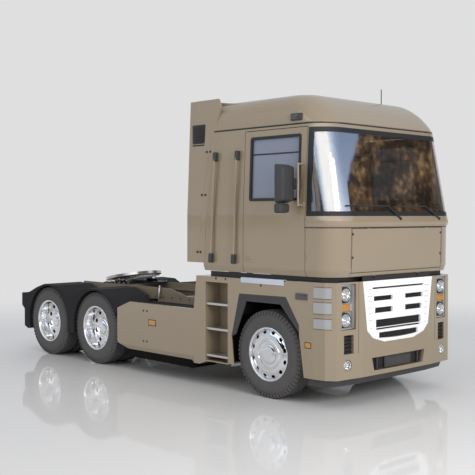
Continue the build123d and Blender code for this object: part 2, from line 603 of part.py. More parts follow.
# ================================================================ sides
def step_boxes():
    """Entry steps: the side panel, its well, and the shelf over the arch."""
    block = side_prism([(STEP_REAR_X, SKIRT_TOP_Z), (-1304.0, 1474.0), (WELL_FRONT_X + 18.0, 1474.0),
                        (WELL_FRONT_X + 18.0, STEP_BOTTOM_Z), (-1093.0, STEP_BOTTOM_Z), (-1246.0, 291.0),
                        (STEP_REAR_X, 291.0)], STEP_INNER_Y, BODY_HALF_WIDTH)
    block -= box(WELL_REAR_X, WELL_FRONT_X, STEP_DEPTH_Y, BODY_HALF_WIDTH + 10.0, STEP_BOTTOM_Z + 15.0, WELL_TOP_Z)
    block -= box(-1330.0, WELL_REAR_X - 30.0, STEP_INNER_Y - 10.0, BODY_HALF_WIDTH - SKIN, 330.0, 1430.0)
    skin = side_prism([(WELL_FRONT_X + 18.0, 1474.0), (WELL_FRONT_X + 18.0, 360.0), (-577.0, 360.0),
                       *ARCH_REAR, ARCH_FRONT[0], (ARCH_FRONT[0][0], 1474.0)],
                      BODY_HALF_WIDTH - ARCH_TRIM, BODY_HALF_WIDTH)
    block += skin
    shelf_y = STEP_DEPTH_Y + 10.0
    block += box(WELL_FRONT_X + 17.0, 334.0, shelf_y, BODY_HALF_WIDTH - 11.0, 1440.0, 1474.0)
    block += box(-500.0, 334.0, shelf_y, shelf_y + SKIN, 1296.0, 1441.0)
    block += box(-1000.0, -900.0, RAIL_OUTER_Y, STEP_INNER_Y + 1.0, RAIL_BOTTOM_Z + 60.0, RAIL_BOTTOM_Z + 130.0)
    return both_sides(block)


def step_treads():
    """The bright treads in the step wells and over the arches."""
    solids = []
    for z in TREAD_HEIGHTS:
        solids += box(WELL_REAR_X, WELL_FRONT_X, STEP_DEPTH_Y, BODY_HALF_WIDTH - 15.0, z - 14.0, z + 14.0).solids()
    solids += box(-426.0, 306.0, BODY_HALF_WIDTH - 60.0, BODY_HALF_WIDTH - 1.0, 1474.0, 1482.0).solids()
    return both_sides(Compound(children=solids))


def side_skirts():
    """Flat side panels between the steps and the driven wheels, curved in at the foot."""
    skirt = side_prism([(SKIRT_REAR_X, 909.0), (-2790.0, SKIRT_TOP_Z), (STEP_REAR_X, SKIRT_TOP_Z),
                        (STEP_REAR_X, SKIRT_BOTTOM_Z), (-2750.0, SKIRT_BOTTOM_Z), (SKIRT_REAR_X, 404.0)],
                       BODY_HALF_WIDTH - 120.0, BODY_HALF_WIDTH)
    skirt &= extrude(Plane.YZ * make_face(Polyline(
        (BODY_HALF_WIDTH, 1100.0), (BODY_HALF_WIDTH, 380.0), (BODY_HALF_WIDTH - 35.0, 300.0),
        (BODY_HALF_WIDTH - 120.0, 255.0), (BODY_HALF_WIDTH - 120.0, 330.0), (BODY_HALF_WIDTH - 60.0, 340.0),
        (BODY_HALF_WIDTH - SKIN, 400.0), (BODY_HALF_WIDTH - SKIN, 1100.0), close=True)), -4000.0)
    return both_sides(skirt)


def side_tanks():
    """Fuel tank and battery box behind the skirts, on brackets from the rails."""
    tank = box(-2860.0, -1480.0, 620.0, BODY_HALF_WIDTH - SKIN, 420.0, 900.0)
    for x in (-2600.0, -1700.0):
        tank += box(x - 40.0, x + 40.0, RAIL_OUTER_Y, 621.0, RAIL_BOTTOM_Z + 20.0, 890.0)
    return both_sides(tank)


def rear_deck():
    """The dark walkway behind the cab."""
    deck = box(-3060.0, STEP_REAR_X, RAIL_OUTER_Y, BODY_HALF_WIDTH - SKIN, DECK_Z - 44.0, DECK_Z)
    return both_sides(deck)


def rear_fenders():
    """Close-fitting covers over the driven wheels, with flaps between and behind."""
    crown = []
    for axle, bearing, above in FENDER_CROWN:
        reach = ARCH_RADIUS + above
        crown.append((axle + reach * cos(radians(bearing)), TYRE_RADIUS + reach * sin(radians(bearing))))
    flap_x = REAR_AXLE_X - ARCH_RADIUS
    between = (MIDDLE_AXLE_X + REAR_AXLE_X) / 2
    foot = FENDER_FOOT_Z
    cover = side_prism([
        (TAIL_X, FENDER_TAIL[1]), (TAIL_X, FENDER_TAIL[0]), (flap_x - 156.0, foot - 2.0), (flap_x - 156.0, foot - 285.0),
        (flap_x - 47.0, foot - 326.0), (flap_x + 74.0, foot - 313.0), (flap_x + 74.0, foot),
        (between - 120.0, foot), (between - 85.0, foot - 280.0), (between + 85.0, foot - 280.0),
        (between + 110.0, foot), (MIDDLE_AXLE_X + ARCH_RADIUS - 94.0, foot), *crown],
        FENDER_INNER_Y, BODY_HALF_WIDTH)
    for x in (MIDDLE_AXLE_X, REAR_AXLE_X):
        cover -= cross_rod(x, TYRE_RADIUS, FENDER_INNER_Y - 10.0, BODY_HALF_WIDTH + 10.0, ARCH_RADIUS)
    cover -= box(TAIL_X - 5.0, TAIL_X + TAIL_LAMP_DEPTH, *TAIL_LAMP)
    for x in (-5400.0, -4340.0, -3180.0):
        cover += box(x - 25.0, x + 25.0, RAIL_OUTER_Y, FENDER_INNER_Y + 40.0, 955.0, 985.0)
    return both_sides(cover)


def tail_lamps():
    """Lamp blocks on the rear of the fenders."""
    return both_sides(box(TAIL_X, TAIL_X + TAIL_LAMP_DEPTH, *TAIL_LAMP))


def air_tanks():
    """Air reservoirs across the frame, between the rails."""
    solids = []
    for x in (-2300.0, -2650.0):
        solids += cross_rod(x, 900.0, -RAIL_OUTER_Y + RAIL_WEB, RAIL_OUTER_Y - RAIL_WEB, 110.0).solids()
    return Compound(children=solids)


# ================================================================ fifth wheel
FIFTH_PIVOT_Z = FIFTH_TOP_Z - FIFTH_PIVOT_DROP


def fifth_wheel_plate():
    """The slotted plate that carries the trailer, tipped back on its pivot."""
    bottom = FIFTH_PIVOT_DROP - FIFTH_PLATE
    centre = -FIFTH_PIVOT_FORWARD
    plate = post(centre, 0.0, bottom, FIFTH_PIVOT_DROP, FIFTH_RADIUS)
    plate -= plan_prism([(centre - 90.0, 38.0), (centre - 2 * FIFTH_RADIUS, 330.0),
                         (centre - 2 * FIFTH_RADIUS, -330.0), (centre - 90.0, -38.0)], 0.0, 200.0)
    plate -= post(centre, 0.0, 0.0, 200.0, KINGPIN_BORE_RADIUS)
    for y in (-330.0, 330.0):
        lug = side_prism([(-70.0, bottom + 1.0), (70.0, bottom + 1.0), (34.0, -30.0), (-34.0, -30.0)],
                         y - 30.0, y + 30.0)
        lug -= cross_rod(0.0, 0.0, y - 40.0, y + 40.0, FIFTH_PIN_RADIUS + HUB_RUN_GAP)
        plate += lug
    return Pos(FIFTH_X + FIFTH_PIVOT_FORWARD, 0, FIFTH_PIVOT_Z) * Rot(0, FIFTH_REST_TILT, 0) * plate


def fifth_wheel_base():
    """The mounting plate on the rails, and the forks that hold the pivot pins."""
    x = FIFTH_X + FIFTH_PIVOT_FORWARD
    low = SUBFRAME_TOP_Z
    base = box(x - 330.0, x + 330.0, -RAIL_OUTER_Y, RAIL_OUTER_Y, low, low + 12.0)
    for y in (-330.0, 330.0):
        for edge in (y - 45.0, y + 35.0):
            base += side_prism([(x - 110.0, low + 11.0), (x + 110.0, low + 11.0), (x + 30.0, FIFTH_PIVOT_Z + 26.0),
                                (x - 30.0, FIFTH_PIVOT_Z + 26.0)], edge, edge + 10.0)
        base += cross_rod(x, FIFTH_PIVOT_Z, y - 45.0, y + 45.0, FIFTH_PIN_RADIUS)
    return base


# ================================================================ cab
def screen_region(shrink=0.0):
    """The side view of the wrap-round windscreen, as a solid right across the cab."""
    edge = SCREEN_EDGE_X + shrink
    reach = BODY_HALF_WIDTH + 150.0
    return box(edge, 1200.0, -reach, reach, SCREEN_BASE_Z + shrink, SCREEN_TOP_Z - shrink)


def door_region(grow=0.0):
    """The door's outline in the side view, on the left."""
    return box(DOOR_REAR_X - grow, DOOR_FRONT_X + grow, BODY_HALF_WIDTH - 350.0, BODY_HALF_WIDTH + 150.0,
               CAB_FLOOR_Z - 2 * grow, DOOR_TOP_Z + grow)


def window_region(shrink=0.0):
    """The door window's opening, on the left."""
    x0, x1, z0, z1 = DOOR_WINDOW
    return box(x0 + shrink, x1 - shrink, BODY_HALF_WIDTH - 350.0, BODY_HALF_WIDTH + 150.0, z0 + shrink, z1 - shrink)


def flap_region(grow=0.0):
    """The service flap across the cab's lower front."""
    return box(1000.0, 1200.0, -FLAP_HALF_WIDTH - grow, FLAP_HALF_WIDTH + grow,
               FLAP_BOTTOM_Z - grow, WAIST_Z - HINGE_SET_BACK + grow)


def door_hinges():
    """Notches, pins and barrels of the left door's hinges."""
    return [flush_hinge((DOOR_FRONT_X + HINGE_SET_BACK, BODY_HALF_WIDTH - HINGE_DEPTH, z), (1, 0, 0), (0, 0, -1))
            for z in DOOR_HINGE_Z]


def flap_hinges():
    """Notches, pins and barrels of the service flap's hinges."""
    return [flush_hinge((1097.0 - HINGE_DEPTH, y, WAIST_Z), (0, 0, 1), (0, -1, 0)) for y in FLAP_HINGE_Y]


def cab_shell():
    """Floor, walls and pillars, open for doors, windscreen and roof."""
    outer = cab_body(CAB_SECTIONS, 0.0)
    glass = cab_body(CAB_SECTIONS, GLASS_DEPTH)
    room = cab_body(CAB_SECTIONS, CAB_WALL, CAB_WALL)
    skin = outer - glass
    shell = outer - room
    shell -= skin & screen_region()
    shell -= screen_region(SCREEN_REBATE)
    doorway = (outer - cab_body(CAB_SECTIONS, CAB_WALL + SEAM)) & door_region(SEAM)
    shell = shell - doorway - mirrored(doorway)
    behind = cab_body(CAB_SECTIONS, FLAP_THICKNESS + MOVING_GAP)
    shell -= (outer - behind) & flap_region(SEAM)
    for notch, pin, _ in door_hinges():
        shell = shell - notch - mirrored(notch) + pin + mirrored(pin)
    for notch, pin, _ in flap_hinges():
        shell = shell - notch + pin
    for y in (-CAB_PIVOT_Y, CAB_PIVOT_Y):
        eye = cross_rod(CAB_PIVOT_X, CAB_PIVOT_Z, y - CAB_EYE_WIDTH / 2, y + CAB_EYE_WIDTH / 2, CAB_EYE_RADIUS)
        eye += box(CAB_PIVOT_X - 40.0, CAB_PIVOT_X - 10.0, y - 30.0, y + 30.0, CAB_PIVOT_Z - 5.0, CAB_FLOOR_Z + 1.0)
        eye += box(CAB_PIVOT_X - 20.0, CAB_PIVOT_X, y - 30.0, y + 30.0, CAB_PIVOT_Z, CAB_FLOOR_Z + 1.0)
        eye -= cross_rod(CAB_PIVOT_X, CAB_PIVOT_Z, y - 60.0, y + 60.0, CAB_PIN_RADIUS + HUB_RUN_GAP)
        shell += eye
    return shell


def cab_front_flap():
    """The service flap in the cab's lower front, hung from its upper edge."""
    outer = cab_body(CAB_SECTIONS, 0.0)
    behind = cab_body(CAB_SECTIONS, FLAP_THICKNESS)
    flap = (outer - behind) & flap_region()
    for notch, _, barrel in flap_hinges():
        flap = flap - notch + barrel
    return flap


def door(side):
    """A cab door, as thick as the cab's wall, with its window cut."""
    wall = cab_body(CAB_SECTIONS, 0.0) - cab_body(CAB_SECTIONS, CAB_WALL)
    leaf = wall & door_region()
    leaf -= window_region()
    for notch, _, barrel in door_hinges():
        leaf = leaf - notch + barrel
    return leaf if side > 0 else mirrored(leaf)


def door_glass(side):
    """The pane in a door's window."""
    layer = cab_body(CAB_SECTIONS, 18.0) - cab_body(CAB_SECTIONS, 26.0)
    pane = layer & window_region()
    return pane if side > 0 else mirrored(pane)


def windscreen():
    """The wrap-round windscreen, bedded in the cab's outer skin."""
    skin = cab_body(CAB_SECTIONS, 0.0) - cab_body(CAB_SECTIONS, GLASS_DEPTH)
    return skin & screen_region()


def cab_roof():
    """The raised roof, hollow above the cab."""
    roof = cab_body(ROOF_SECTIONS, 0.0)
    inner = [(z - (SKIN if z > ROOF_SEAM_Z else 10.0), x, w, fr, rr) for z, x, w, fr, rr in ROOF_SECTIONS]
    return roof - cab_body(inner, SKIN)


def wind_deflectors():
    """The panels that carry the cab's sides rearward, on brackets."""
    levels = []
    for z, half in DEFLECTOR_SECTIONS:
        levels.append(Pos(-1150.0, half - DEFLECTOR_THICKNESS / 2, z) * Rectangle(900.0, DEFLECTOR_THICKNESS))
    panel = loft(levels, ruled=True)
    panel &= side_prism(DEFLECTOR_OUTLINE, BODY_HALF_WIDTH - 250.0, BODY_HALF_WIDTH + 50.0)
    for z, inset in DEFLECTOR_BRACKETS:
        panel += box(-1340.0, CAB_REAR_X, BODY_HALF_WIDTH - 350.0, BODY_HALF_WIDTH - inset, z - 20.0, z + 20.0)
    panel -= cab_body(CAB_SECTIONS, 0.0)
    panel -= cab_body(ROOF_SECTIONS, 0.0)
    return both_sides(panel)


def grab_rails():
    """The upright rails behind and ahead of each door's rear edge."""
    solids = []
    for top, foot in [(-930.0, -980.0), (-515.0, -550.0)]:
        start = (foot, BODY_HALF_WIDTH + 35.0, 1740.0)
        end = (top, BODY_HALF_WIDTH + 12.0, 3020.0)
        rail = bar(start, end, 17.0)
        for x, y, z in (start, end):
            rail += cross_rod(x, z, BODY_HALF_WIDTH - 50.0, y, 13.0) - cab_body(CAB_SECTIONS, 0.0)
        solids += rail.solids()
    return both_sides(Compound(children=solids))


def mirrors(side):
    """The main and wide-angle mirrors on their tube, carried by the door."""
    y = BODY_HALF_WIDTH + MIRROR_TUBE_OUT
    head = y - 40.0
    tube = bar((580.0, y, 2330.0), (600.0, y, 2900.0), 15.0)
    tube += bar((596.0, y, 2884.0), (612.0, BODY_HALF_WIDTH - 44.0, 2908.0), 15.0) - cab_body(CAB_SECTIONS, 0.0)
    tube += bar((584.0, y, 2400.0), (603.0, BODY_HALF_WIDTH - 24.0, 2388.0), 15.0) - cab_body(CAB_SECTIONS, 0.0)
    tube += box(500.0, 610.0, y - 30.0, y + 20.0, 2630.0, 2710.0)
    tube += box(500.0, 600.0, y - 20.0, y + 20.0, 2345.0, 2385.0)
    tube += box(420.0, 530.0, head, head + 220.0, 2445.0, 2890.0)
    tube += box(400.0, 530.0, head, head + 230.0, 2300.0, 2430.0)
    return tube if side > 0 else mirrored(tube)


def wipers():
    """Two wipers parked along the foot of the windscreen."""
    solids = []
    for y in (-700.0, 150.0):
        arm = long_rod(y, 2262.0, 1100.0, 1125.0, 16.0)
        arm += bar((WIPER_X, y, 2262.0), (WIPER_X, y + 330.0, 2318.0), WIPER_RADIUS)
        arm += bar((WIPER_X, y + 30.0, 2330.0), (WIPER_X, y + 630.0, 2310.0), WIPER_RADIUS)
        solids += arm.solids()
    return Compound(children=solids)


def dashboard():
    """The dashboard across the front of the cab."""
    return side_prism([(1000.0, 2120.0), (1000.0, 2250.0), (900.0, 2290.0), (520.0, 2290.0), (450.0, 2180.0),
                       (620.0, 1640.0), (CAB_WALL + 800.0, CAB_FLOOR_Z + CAB_WALL), (1000.0, CAB_FLOOR_Z + CAB_WALL)],
                      -BODY_HALF_WIDTH + 350.0, BODY_HALF_WIDTH - 350.0) - steering_wheel()


def steering_wheel():
    """The driver's steering wheel and column."""
    rim = Torus(215.0, 15.0) + Cylinder(45.0, 20.0)
    for angle in (0, 90, 180, 270):
        rim += Rot(0, 0, angle) * Pos(115.0, 0, 0) * Box(190.0, 24.0, 12.0)
    rim += Pos(0, 0, -70.0) * Cylinder(30.0, 140.0)
    return Pos(390.0, 620.0, 2290.0) * Rot(0, -35.0, 0) * rim


def seats():
    """Driver and passenger seats."""
    solids = []
    for y in (-620.0, 620.0):
        seat = box(-330.0, 130.0, y - 240.0, y + 240.0, 1900.0, 2040.0)
        seat += side_prism([(-330.0, 1960.0), (-200.0, 1960.0), (-310.0, 2780.0), (-410.0, 2780.0)], y - 230.0, y + 230.0)
        seat += box(-250.0, 50.0, y - 180.0, y + 180.0, CAB_FLOOR_Z + CAB_WALL, 1901.0)
        solids += seat.solids()
    return Compound(children=solids)


def bunk():
    """The sleeping bunk across the rear of the cab."""
    edge = BODY_HALF_WIDTH - 200.0
    return box(CAB_REAR_X + CAB_WALL, -620.0, -edge, edge, CAB_FLOOR_Z + CAB_WALL, 2080.0)


def antenna():
    """A whip on the roof."""
    return post(430.0, 500.0, 3740.0, 3950.0, 6.0) - cab_body(ROOF_SECTIONS, 0.0)


def cab_supports():
    """Front forks with the tilt pins, and the rear rest beam."""
    frame = box(-1190.0, -1130.0, -760.0, 760.0, 1490.0, 1540.0)
    for y in (-RAIL_OUTER_Y + 40.0, RAIL_OUTER_Y - 40.0):
        frame += box(-1180.0, -1140.0, y - 40.0, y + 40.0, RAIL_TOP_Z, 1491.0)
    for y in (-CAB_PIVOT_Y, CAB_PIVOT_Y):
        for edge in (y - CAB_EYE_WIDTH / 2 - 16.0, y + CAB_EYE_WIDTH / 2 + 6.0):
            frame += side_prism([(CAB_PIVOT_X - 14.0, CAB_PIVOT_Z + 12.0), (CAB_PIVOT_X + 12.0, CAB_PIVOT_Z + 12.0),
                                 (CAB_PIVOT_X + 12.0, 1508.0), (1050.0, 1495.0), (1040.0, 1440.0),
                                 (960.0, RAIL_TOP_Z - 60.0), (900.0, RAIL_TOP_Z - 60.0), (960.0, 1440.0)],
                                edge, edge + 10.0)
        frame += cross_rod(CAB_PIVOT_X, CAB_PIVOT_Z, y - CAB_EYE_WIDTH / 2 - 16.0, y + CAB_EYE_WIDTH / 2 + 16.0,
                           CAB_PIN_RADIUS)
    return Compound(children=frame.solids())


# ================================================================ output
def all_nodes():
    """Every piece, by the name of its file."""
    nodes = {
        "frame_rails": frame_rails(), "tail_member": tail_member(), "engine_block": engine_block(),
        "gearbox": gearbox(), "front_axle": front_axle(), "rear_axles": rear_axles(),
        "rear_suspension": rear_suspension(), "front_module": front_module(), "grille_panel": grille_panel(),
        "grille_mesh": grille_mesh(), "lamp_housings": lamp_housings(), "lamp_lenses": lamp_lenses(),
        "front_arches": front_arches(), "step_boxes": step_boxes(), "step_treads": step_treads(),
        "side_skirts": side_skirts(), "side_tanks": side_tanks(), "rear_deck": rear_deck(),
        "rear_fenders": rear_fenders(), "tail_lamps": tail_lamps(), "air_tanks": air_tanks(),
        "fifth_wheel_plate": fifth_wheel_plate(), "fifth_wheel_base": fifth_wheel_base(),
        "cab_supports": cab_supports(), "cab_shell": cab_shell(), "cab_front_flap": cab_front_flap(),
        "windscreen": windscreen(), "cab_roof": cab_roof(), "wind_deflectors": wind_deflectors(),
        "grab_rails": grab_rails(), "wipers": wipers(), "dashboard": dashboard(),
        "steering_wheel": steering_wheel(), "seats": seats(), "bunk": bunk(), "antenna": antenna(),
    }
    for side, name in ((-1, "right"), (1, "left")):
        nodes[f"door_{name}"] = door(side)
        nodes[f"door_glass_{name}"] = door_glass(side)
        nodes[f"mirrors_{name}"] = mirrors(side)
        nodes[f"knuckle_{name}"] = knuckle(side)
        nodes[f"front_tyre_{name}"], nodes[f"front_rim_{name}"] = front_wheel(side)
        for place, x in (("middle", MIDDLE_AXLE_X), ("rear", REAR_AXLE_X)):
            nodes[f"{place}_tyres_{name}"], nodes[f"{place}_rims_{name}"] = twin_wheel(x, side)
    return nodes


def main():
    """Write one file for each piece."""
    os.makedirs("parts", exist_ok=True)
    for name, shape in all_nodes().items():
        export_step(Pos(SHIFT_X, 0, 0) * Compound(children=list(shape.solids())), f"parts/{name}.step")


if __name__ == "__main__":
    main()
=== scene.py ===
"""Looks of a three-axle cab-over road tractor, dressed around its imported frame."""

import logging
import math
from collections.abc import Callable, Iterable
from dataclasses import dataclass
from enum import Enum

import bmesh
import bpy
from mathutils import Matrix, Vector


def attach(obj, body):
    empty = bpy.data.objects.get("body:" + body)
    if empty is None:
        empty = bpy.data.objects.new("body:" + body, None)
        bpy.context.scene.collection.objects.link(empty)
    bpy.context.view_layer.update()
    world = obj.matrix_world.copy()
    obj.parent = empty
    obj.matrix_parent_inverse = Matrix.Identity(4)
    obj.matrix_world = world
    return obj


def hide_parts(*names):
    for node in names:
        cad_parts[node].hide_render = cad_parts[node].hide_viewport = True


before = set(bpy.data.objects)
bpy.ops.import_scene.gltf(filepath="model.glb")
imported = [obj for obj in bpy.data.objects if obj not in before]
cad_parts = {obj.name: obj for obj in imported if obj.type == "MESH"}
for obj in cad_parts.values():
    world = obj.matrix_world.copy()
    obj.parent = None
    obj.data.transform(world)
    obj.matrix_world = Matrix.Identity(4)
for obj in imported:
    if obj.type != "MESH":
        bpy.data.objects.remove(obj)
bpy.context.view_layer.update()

LOG = logging.getLogger("tractor")
FRONT_AXLE_X = 2.337
Point = tuple[float, float, float]
Colour = tuple[float, float, float]
Stops = tuple[tuple[float, Colour], ...]


class Side(Enum):
    """The truck's two sides, as the sign of Y."""

    RIGHT = -1
    LEFT = 1

    @property
    def word(self) -> str:
        """Name of the side as the nodes spell it."""
        return self.name.lower()


class Axis(Enum):
    """Directions that a shape is turned about."""

    X = (1.0, 0.0, 0.0)
    Y = (0.0, 1.0, 0.0)
    Z = (0.0, 0.0, 1.0)


# ---------------------------------------------------------------- node tools
Term = bpy.types.NodeSocket | float | tuple[float, ...]


@dataclass(frozen=True)
class Wiring:
    """Adds nodes to one tree and links them.

    Attributes:
        tree: The tree.
    """

    tree: bpy.types.NodeTree

    def feed(self, node: bpy.types.Node, inputs: dict[str | int, Term]) -> None:
        """Fills a node's inputs.

        Args:
            node: The node.
            inputs: A socket, a number or a colour for each input.
        """
        for key, term in inputs.items():
            if isinstance(term, bpy.types.NodeSocket):
                self.tree.links.new(term, node.inputs[key])
            elif node.inputs[key].type == "RGBA":
                node.inputs[key].default_value = (*term, 1.0)
            else:
                node.inputs[key].default_value = term

    def add(self, kind: str, inputs: dict[str | int, Term] | None = None,
            **settings: str | bool | bpy.types.NodeTree) -> bpy.types.Node:
        """Adds a node.

        Args:
            kind: Its type, without the word that every shader node starts with.
            inputs: A socket, a number or a colour for each input.
            settings: Its own settings.

        Returns:
            The node.
        """
        made = self.tree.nodes.new("ShaderNode" + kind)
        for name, value in settings.items():
            setattr(made, name, value)
        self.feed(made, inputs or {})
        return made

    def compute(self, operation: str, *terms: Term, clamp: bool = False) -> bpy.types.NodeSocket:
        """Adds a math node.

        Args:
            operation: What it does.
            terms: Its inputs.
            clamp: Whether its output stays between 0 and 1.

        Returns:
            Its output.
        """
        return self.add("Math", dict(enumerate(terms)), operation=operation, use_clamp=clamp).outputs[0]

    def blend(self, share: Term, first: Term, second: Term) -> bpy.types.NodeSocket:
        """Mixes two colours.

        Args:
            share: Share of the second.
            first: The first colour.
            second: The second colour.

        Returns:
            The mixed colour.
        """
        return self.add("Mix", {"Factor": share, "A": first, "B": second}, data_type="RGBA").outputs["Result"]

    def share(self, value: Term, low: float, high: float) -> bpy.types.NodeSocket:
        """Turns a value into a share of the way between two others.

        Args:
            value: The value.
            low: Where the share is 0.
            high: Where the share is 1.

        Returns:
            The share.
        """
        return self.add("MapRange", {"Value": value, "From Min": low, "From Max": high}).outputs["Result"]

    def share_of_turn(self, angle: Term, low: float, high: float) -> bpy.types.NodeSocket:
        """Turns an angle in radians into a share of the way between two angles in degrees.

        Args:
            angle: The angle.
            low: Where the share is 0.
            high: Where the share is 1.

        Returns:
            The share.
        """
        return self.share(angle, math.radians(low), math.radians(high))

    def ramp(self, share: Term, stops: Stops) -> bpy.types.NodeSocket:
        """Adds a colour ramp.

        Args:
            share: Where it is read.
            stops: Place and colour of each stop.

        Returns:
            The colour.
        """
        node = self.add("ValToRGB", {"Fac": share})
        for i, (where, colour) in enumerate(stops):
            stop = node.color_ramp.elements[i] if i < 2 else node.color_ramp.elements.new(where)
            stop.position = where
            stop.color = (*colour, 1.0)
        return node.outputs["Color"]

    def colour(self, value: Colour) -> bpy.types.NodeSocket:
        """Adds a plain colour.

        Args:
            value: The colour.

        Returns:
            Its output.
        """
        node = self.add("RGB")
        node.outputs[0].default_value = (*value, 1.0)
        return node.outputs[0]


class ShaderGroups:
    """Node groups that several finishes share."""

    def __init__(self) -> None:
        """Builds each group once."""
        self.grain = self._grain()
        self.dust = self._dust()

    @staticmethod
    def _group(name: str, inputs: dict[str, float | Colour],
               outputs: tuple[str, ...]) -> tuple[Wiring, bpy.types.Node, bpy.types.Node]:
        """Starts a node group with named sockets.

        Args:
            name: The group's name.
            inputs: Name and default of each input, a colour or a number.
            outputs: Name of each output, all numbers apart from Color.

        Returns:
            The group's wiring, its input node and its output node.
        """
        wires = Wiring(bpy.data.node_groups.new(name, "ShaderNodeTree"))
        for label, default in inputs.items():
            coloured = isinstance(default, tuple)
            socket = wires.tree.interface.new_socket(
                name=label, in_out="INPUT", socket_type="NodeSocketColor" if coloured else "NodeSocketFloat")
            socket.default_value = (*default, 1.0) if coloured else default
        for label in outputs:
            wires.tree.interface.new_socket(
                name=label, in_out="OUTPUT", socket_type="NodeSocketColor" if label == "Color" else "NodeSocketFloat")
        return wires, wires.tree.nodes.new("NodeGroupInput"), wires.tree.nodes.new("NodeGroupOutput")

    def _grain(self) -> bpy.types.NodeTree:
        """Fine relief and slow mottling of a colour.

        Returns:
            A group that puts out Color, Roughness and Height.
        """
        wires, source, sink = self._group(
            "surface_grain", {"Color": (0.5, 0.5, 0.5), "Mottle": 0.05, "Scale": 120.0, "Roughness": 0.4,
                              "Spread": 0.05}, ("Color", "Roughness", "Height"))
        given = source.outputs
        place = wires.add("TexCoord").outputs["Object"]
        fine = wires.add("TexNoise", {"Vector": place, "Scale": given["Scale"], "Detail": 4.0})
        slow = wires.add("TexNoise", {"Vector": place, "Scale": 1.7, "Detail": 3.0})
        shade = wires.compute("SUBTRACT", slow.outputs["Fac"], 0.5)
        amount = wires.compute("MULTIPLY_ADD", shade, given["Mottle"], 1.0)
        tint = wires.add("VectorMath", {0: given["Color"], "Scale": amount}, operation="SCALE")
        rough = wires.compute("MULTIPLY_ADD", shade, given["Spread"], given["Roughness"])
        wires.feed(sink, {"Color": tint.outputs[0], "Roughness": rough, "Height": fine.outputs["Fac"]})
        return wires.tree

    def _dust(self) -> bpy.types.NodeTree:
        """Road dust that gathers low down.

        Returns:
            A group that puts out Color and Roughness.
        """
        wires, source, sink = self._group(
            "road_dust", {"Color": (0.5, 0.5, 0.5), "Roughness": 0.4, "Dust": (0.32, 0.29, 0.25), "Amount": 0.2,
                          "Top": 1.2}, ("Color", "Roughness"))
        given = source.outputs
        place = wires.add("TexCoord").outputs["Object"]
        height = wires.add("SeparateXYZ", {0: place}).outputs["Z"]
        fall = wires.add("MapRange", {"Value": height, "From Min": 0.0, "From Max": given["Top"], "To Min": 1.0,
                                      "To Max": 0.0})
        patch = wires.add("TexNoise", {"Vector": place, "Scale": 9.0, "Detail": 5.0})
        spots = wires.compute("MULTIPLY", fall.outputs["Result"], patch.outputs["Fac"])
        amount = wires.compute("MULTIPLY", spots, given["Amount"], clamp=True)
        rough = wires.compute("MULTIPLY_ADD", amount, 0.6, given["Roughness"], clamp=True)
        wires.feed(sink, {"Color": wires.blend(amount, given["Color"], given["Dust"]), "Roughness": rough})
        return wires.tree


GROUPS = ShaderGroups()


# ---------------------------------------------------------------- finishes
@dataclass(frozen=True)
class Surface:
    """What every finish has.

    Attributes:
        name: Name of its material.
        colour: Base colour or tint, linear.
    """

    name: str
    colour: Colour

    def material(self) -> bpy.types.Material:
        """Builds the material, or finds it if it is built.

        Returns:
            The material.
        """
        made = bpy.data.materials.get(self.name)
        if made is None:
            made = bpy.data.materials.new(self.name)
            made.use_nodes = True
            self.wire(Wiring(made.node_tree), made.node_tree.nodes["Principled BSDF"])
        return made

    def wire(self, wires: Wiring, shader: bpy.types.Node) -> None:
        """Sets the material's shader up.

        Args:
            wires: The material's wiring.
            shader: Its shader.
        """
        raise NotImplementedError

    def add_grain(self, wires: Wiring, mottle: float, scale: float, roughness: float, spread: float) -> bpy.types.Node:
        """Adds the grain group.

        Args:
            wires: The material's wiring.
            mottle: How far the colour drifts.
            scale: Frequency of the fine relief.
            roughness: Mean roughness.
            spread: How far the roughness drifts.

        Returns:
            The group's node.
        """
        return wires.add("Group", {"Color": self.colour, "Mottle": mottle, "Scale": scale, "Roughness": roughness,
                                   "Spread": spread}, node_tree=GROUPS.grain)


@dataclass(frozen=True)
class Finish(Surface):
    """One opaque finish.

    Attributes:
        roughness: Mean roughness.
        metallic: 0 for paint and plastic, 1 for bare metal.
        coat: Clear coat weight.
        mottle: How far the colour drifts over the surface.
        grain: Frequency of the fine relief.
        relief: Depth of the fine relief, in metres.
        dust: Amount of road dust low down.
        spread: How far the roughness drifts.
        specular: Strength of the plain gloss.
    """

    roughness: float = 0.4
    metallic: float = 0.0
    coat: float = 0.0
    mottle: float = 0.08
    grain: float = 160.0
    relief: float = 0.0002
    dust: float = 0.15
    spread: float = 0.08
    specular: float = 0.5

    def wire(self, wires: Wiring, shader: bpy.types.Node) -> None:
        """Sets the material's shader up.

        Args:
            wires: The material's wiring.
            shader: Its shader.
        """
        grain = self.add_grain(wires, self.mottle, self.grain, self.roughness, self.spread)
        dust = wires.add("Group", {"Color": grain.outputs["Color"], "Roughness": grain.outputs["Roughness"],
                                   "Amount": self.dust}, node_tree=GROUPS.dust)
        bump = wires.add("Bump", {"Distance": self.relief, "Strength": 0.6, "Height": grain.outputs["Height"]})
        wires.feed(shader, {
            "Base Color": dust.outputs["Color"], "Roughness": dust.outputs["Roughness"], "Metallic": self.metallic,
            "Normal": bump.outputs["Normal"], "Specular IOR Level": self.specular, "Coat Weight": self.coat,
            "Coat Roughness": 0.06})


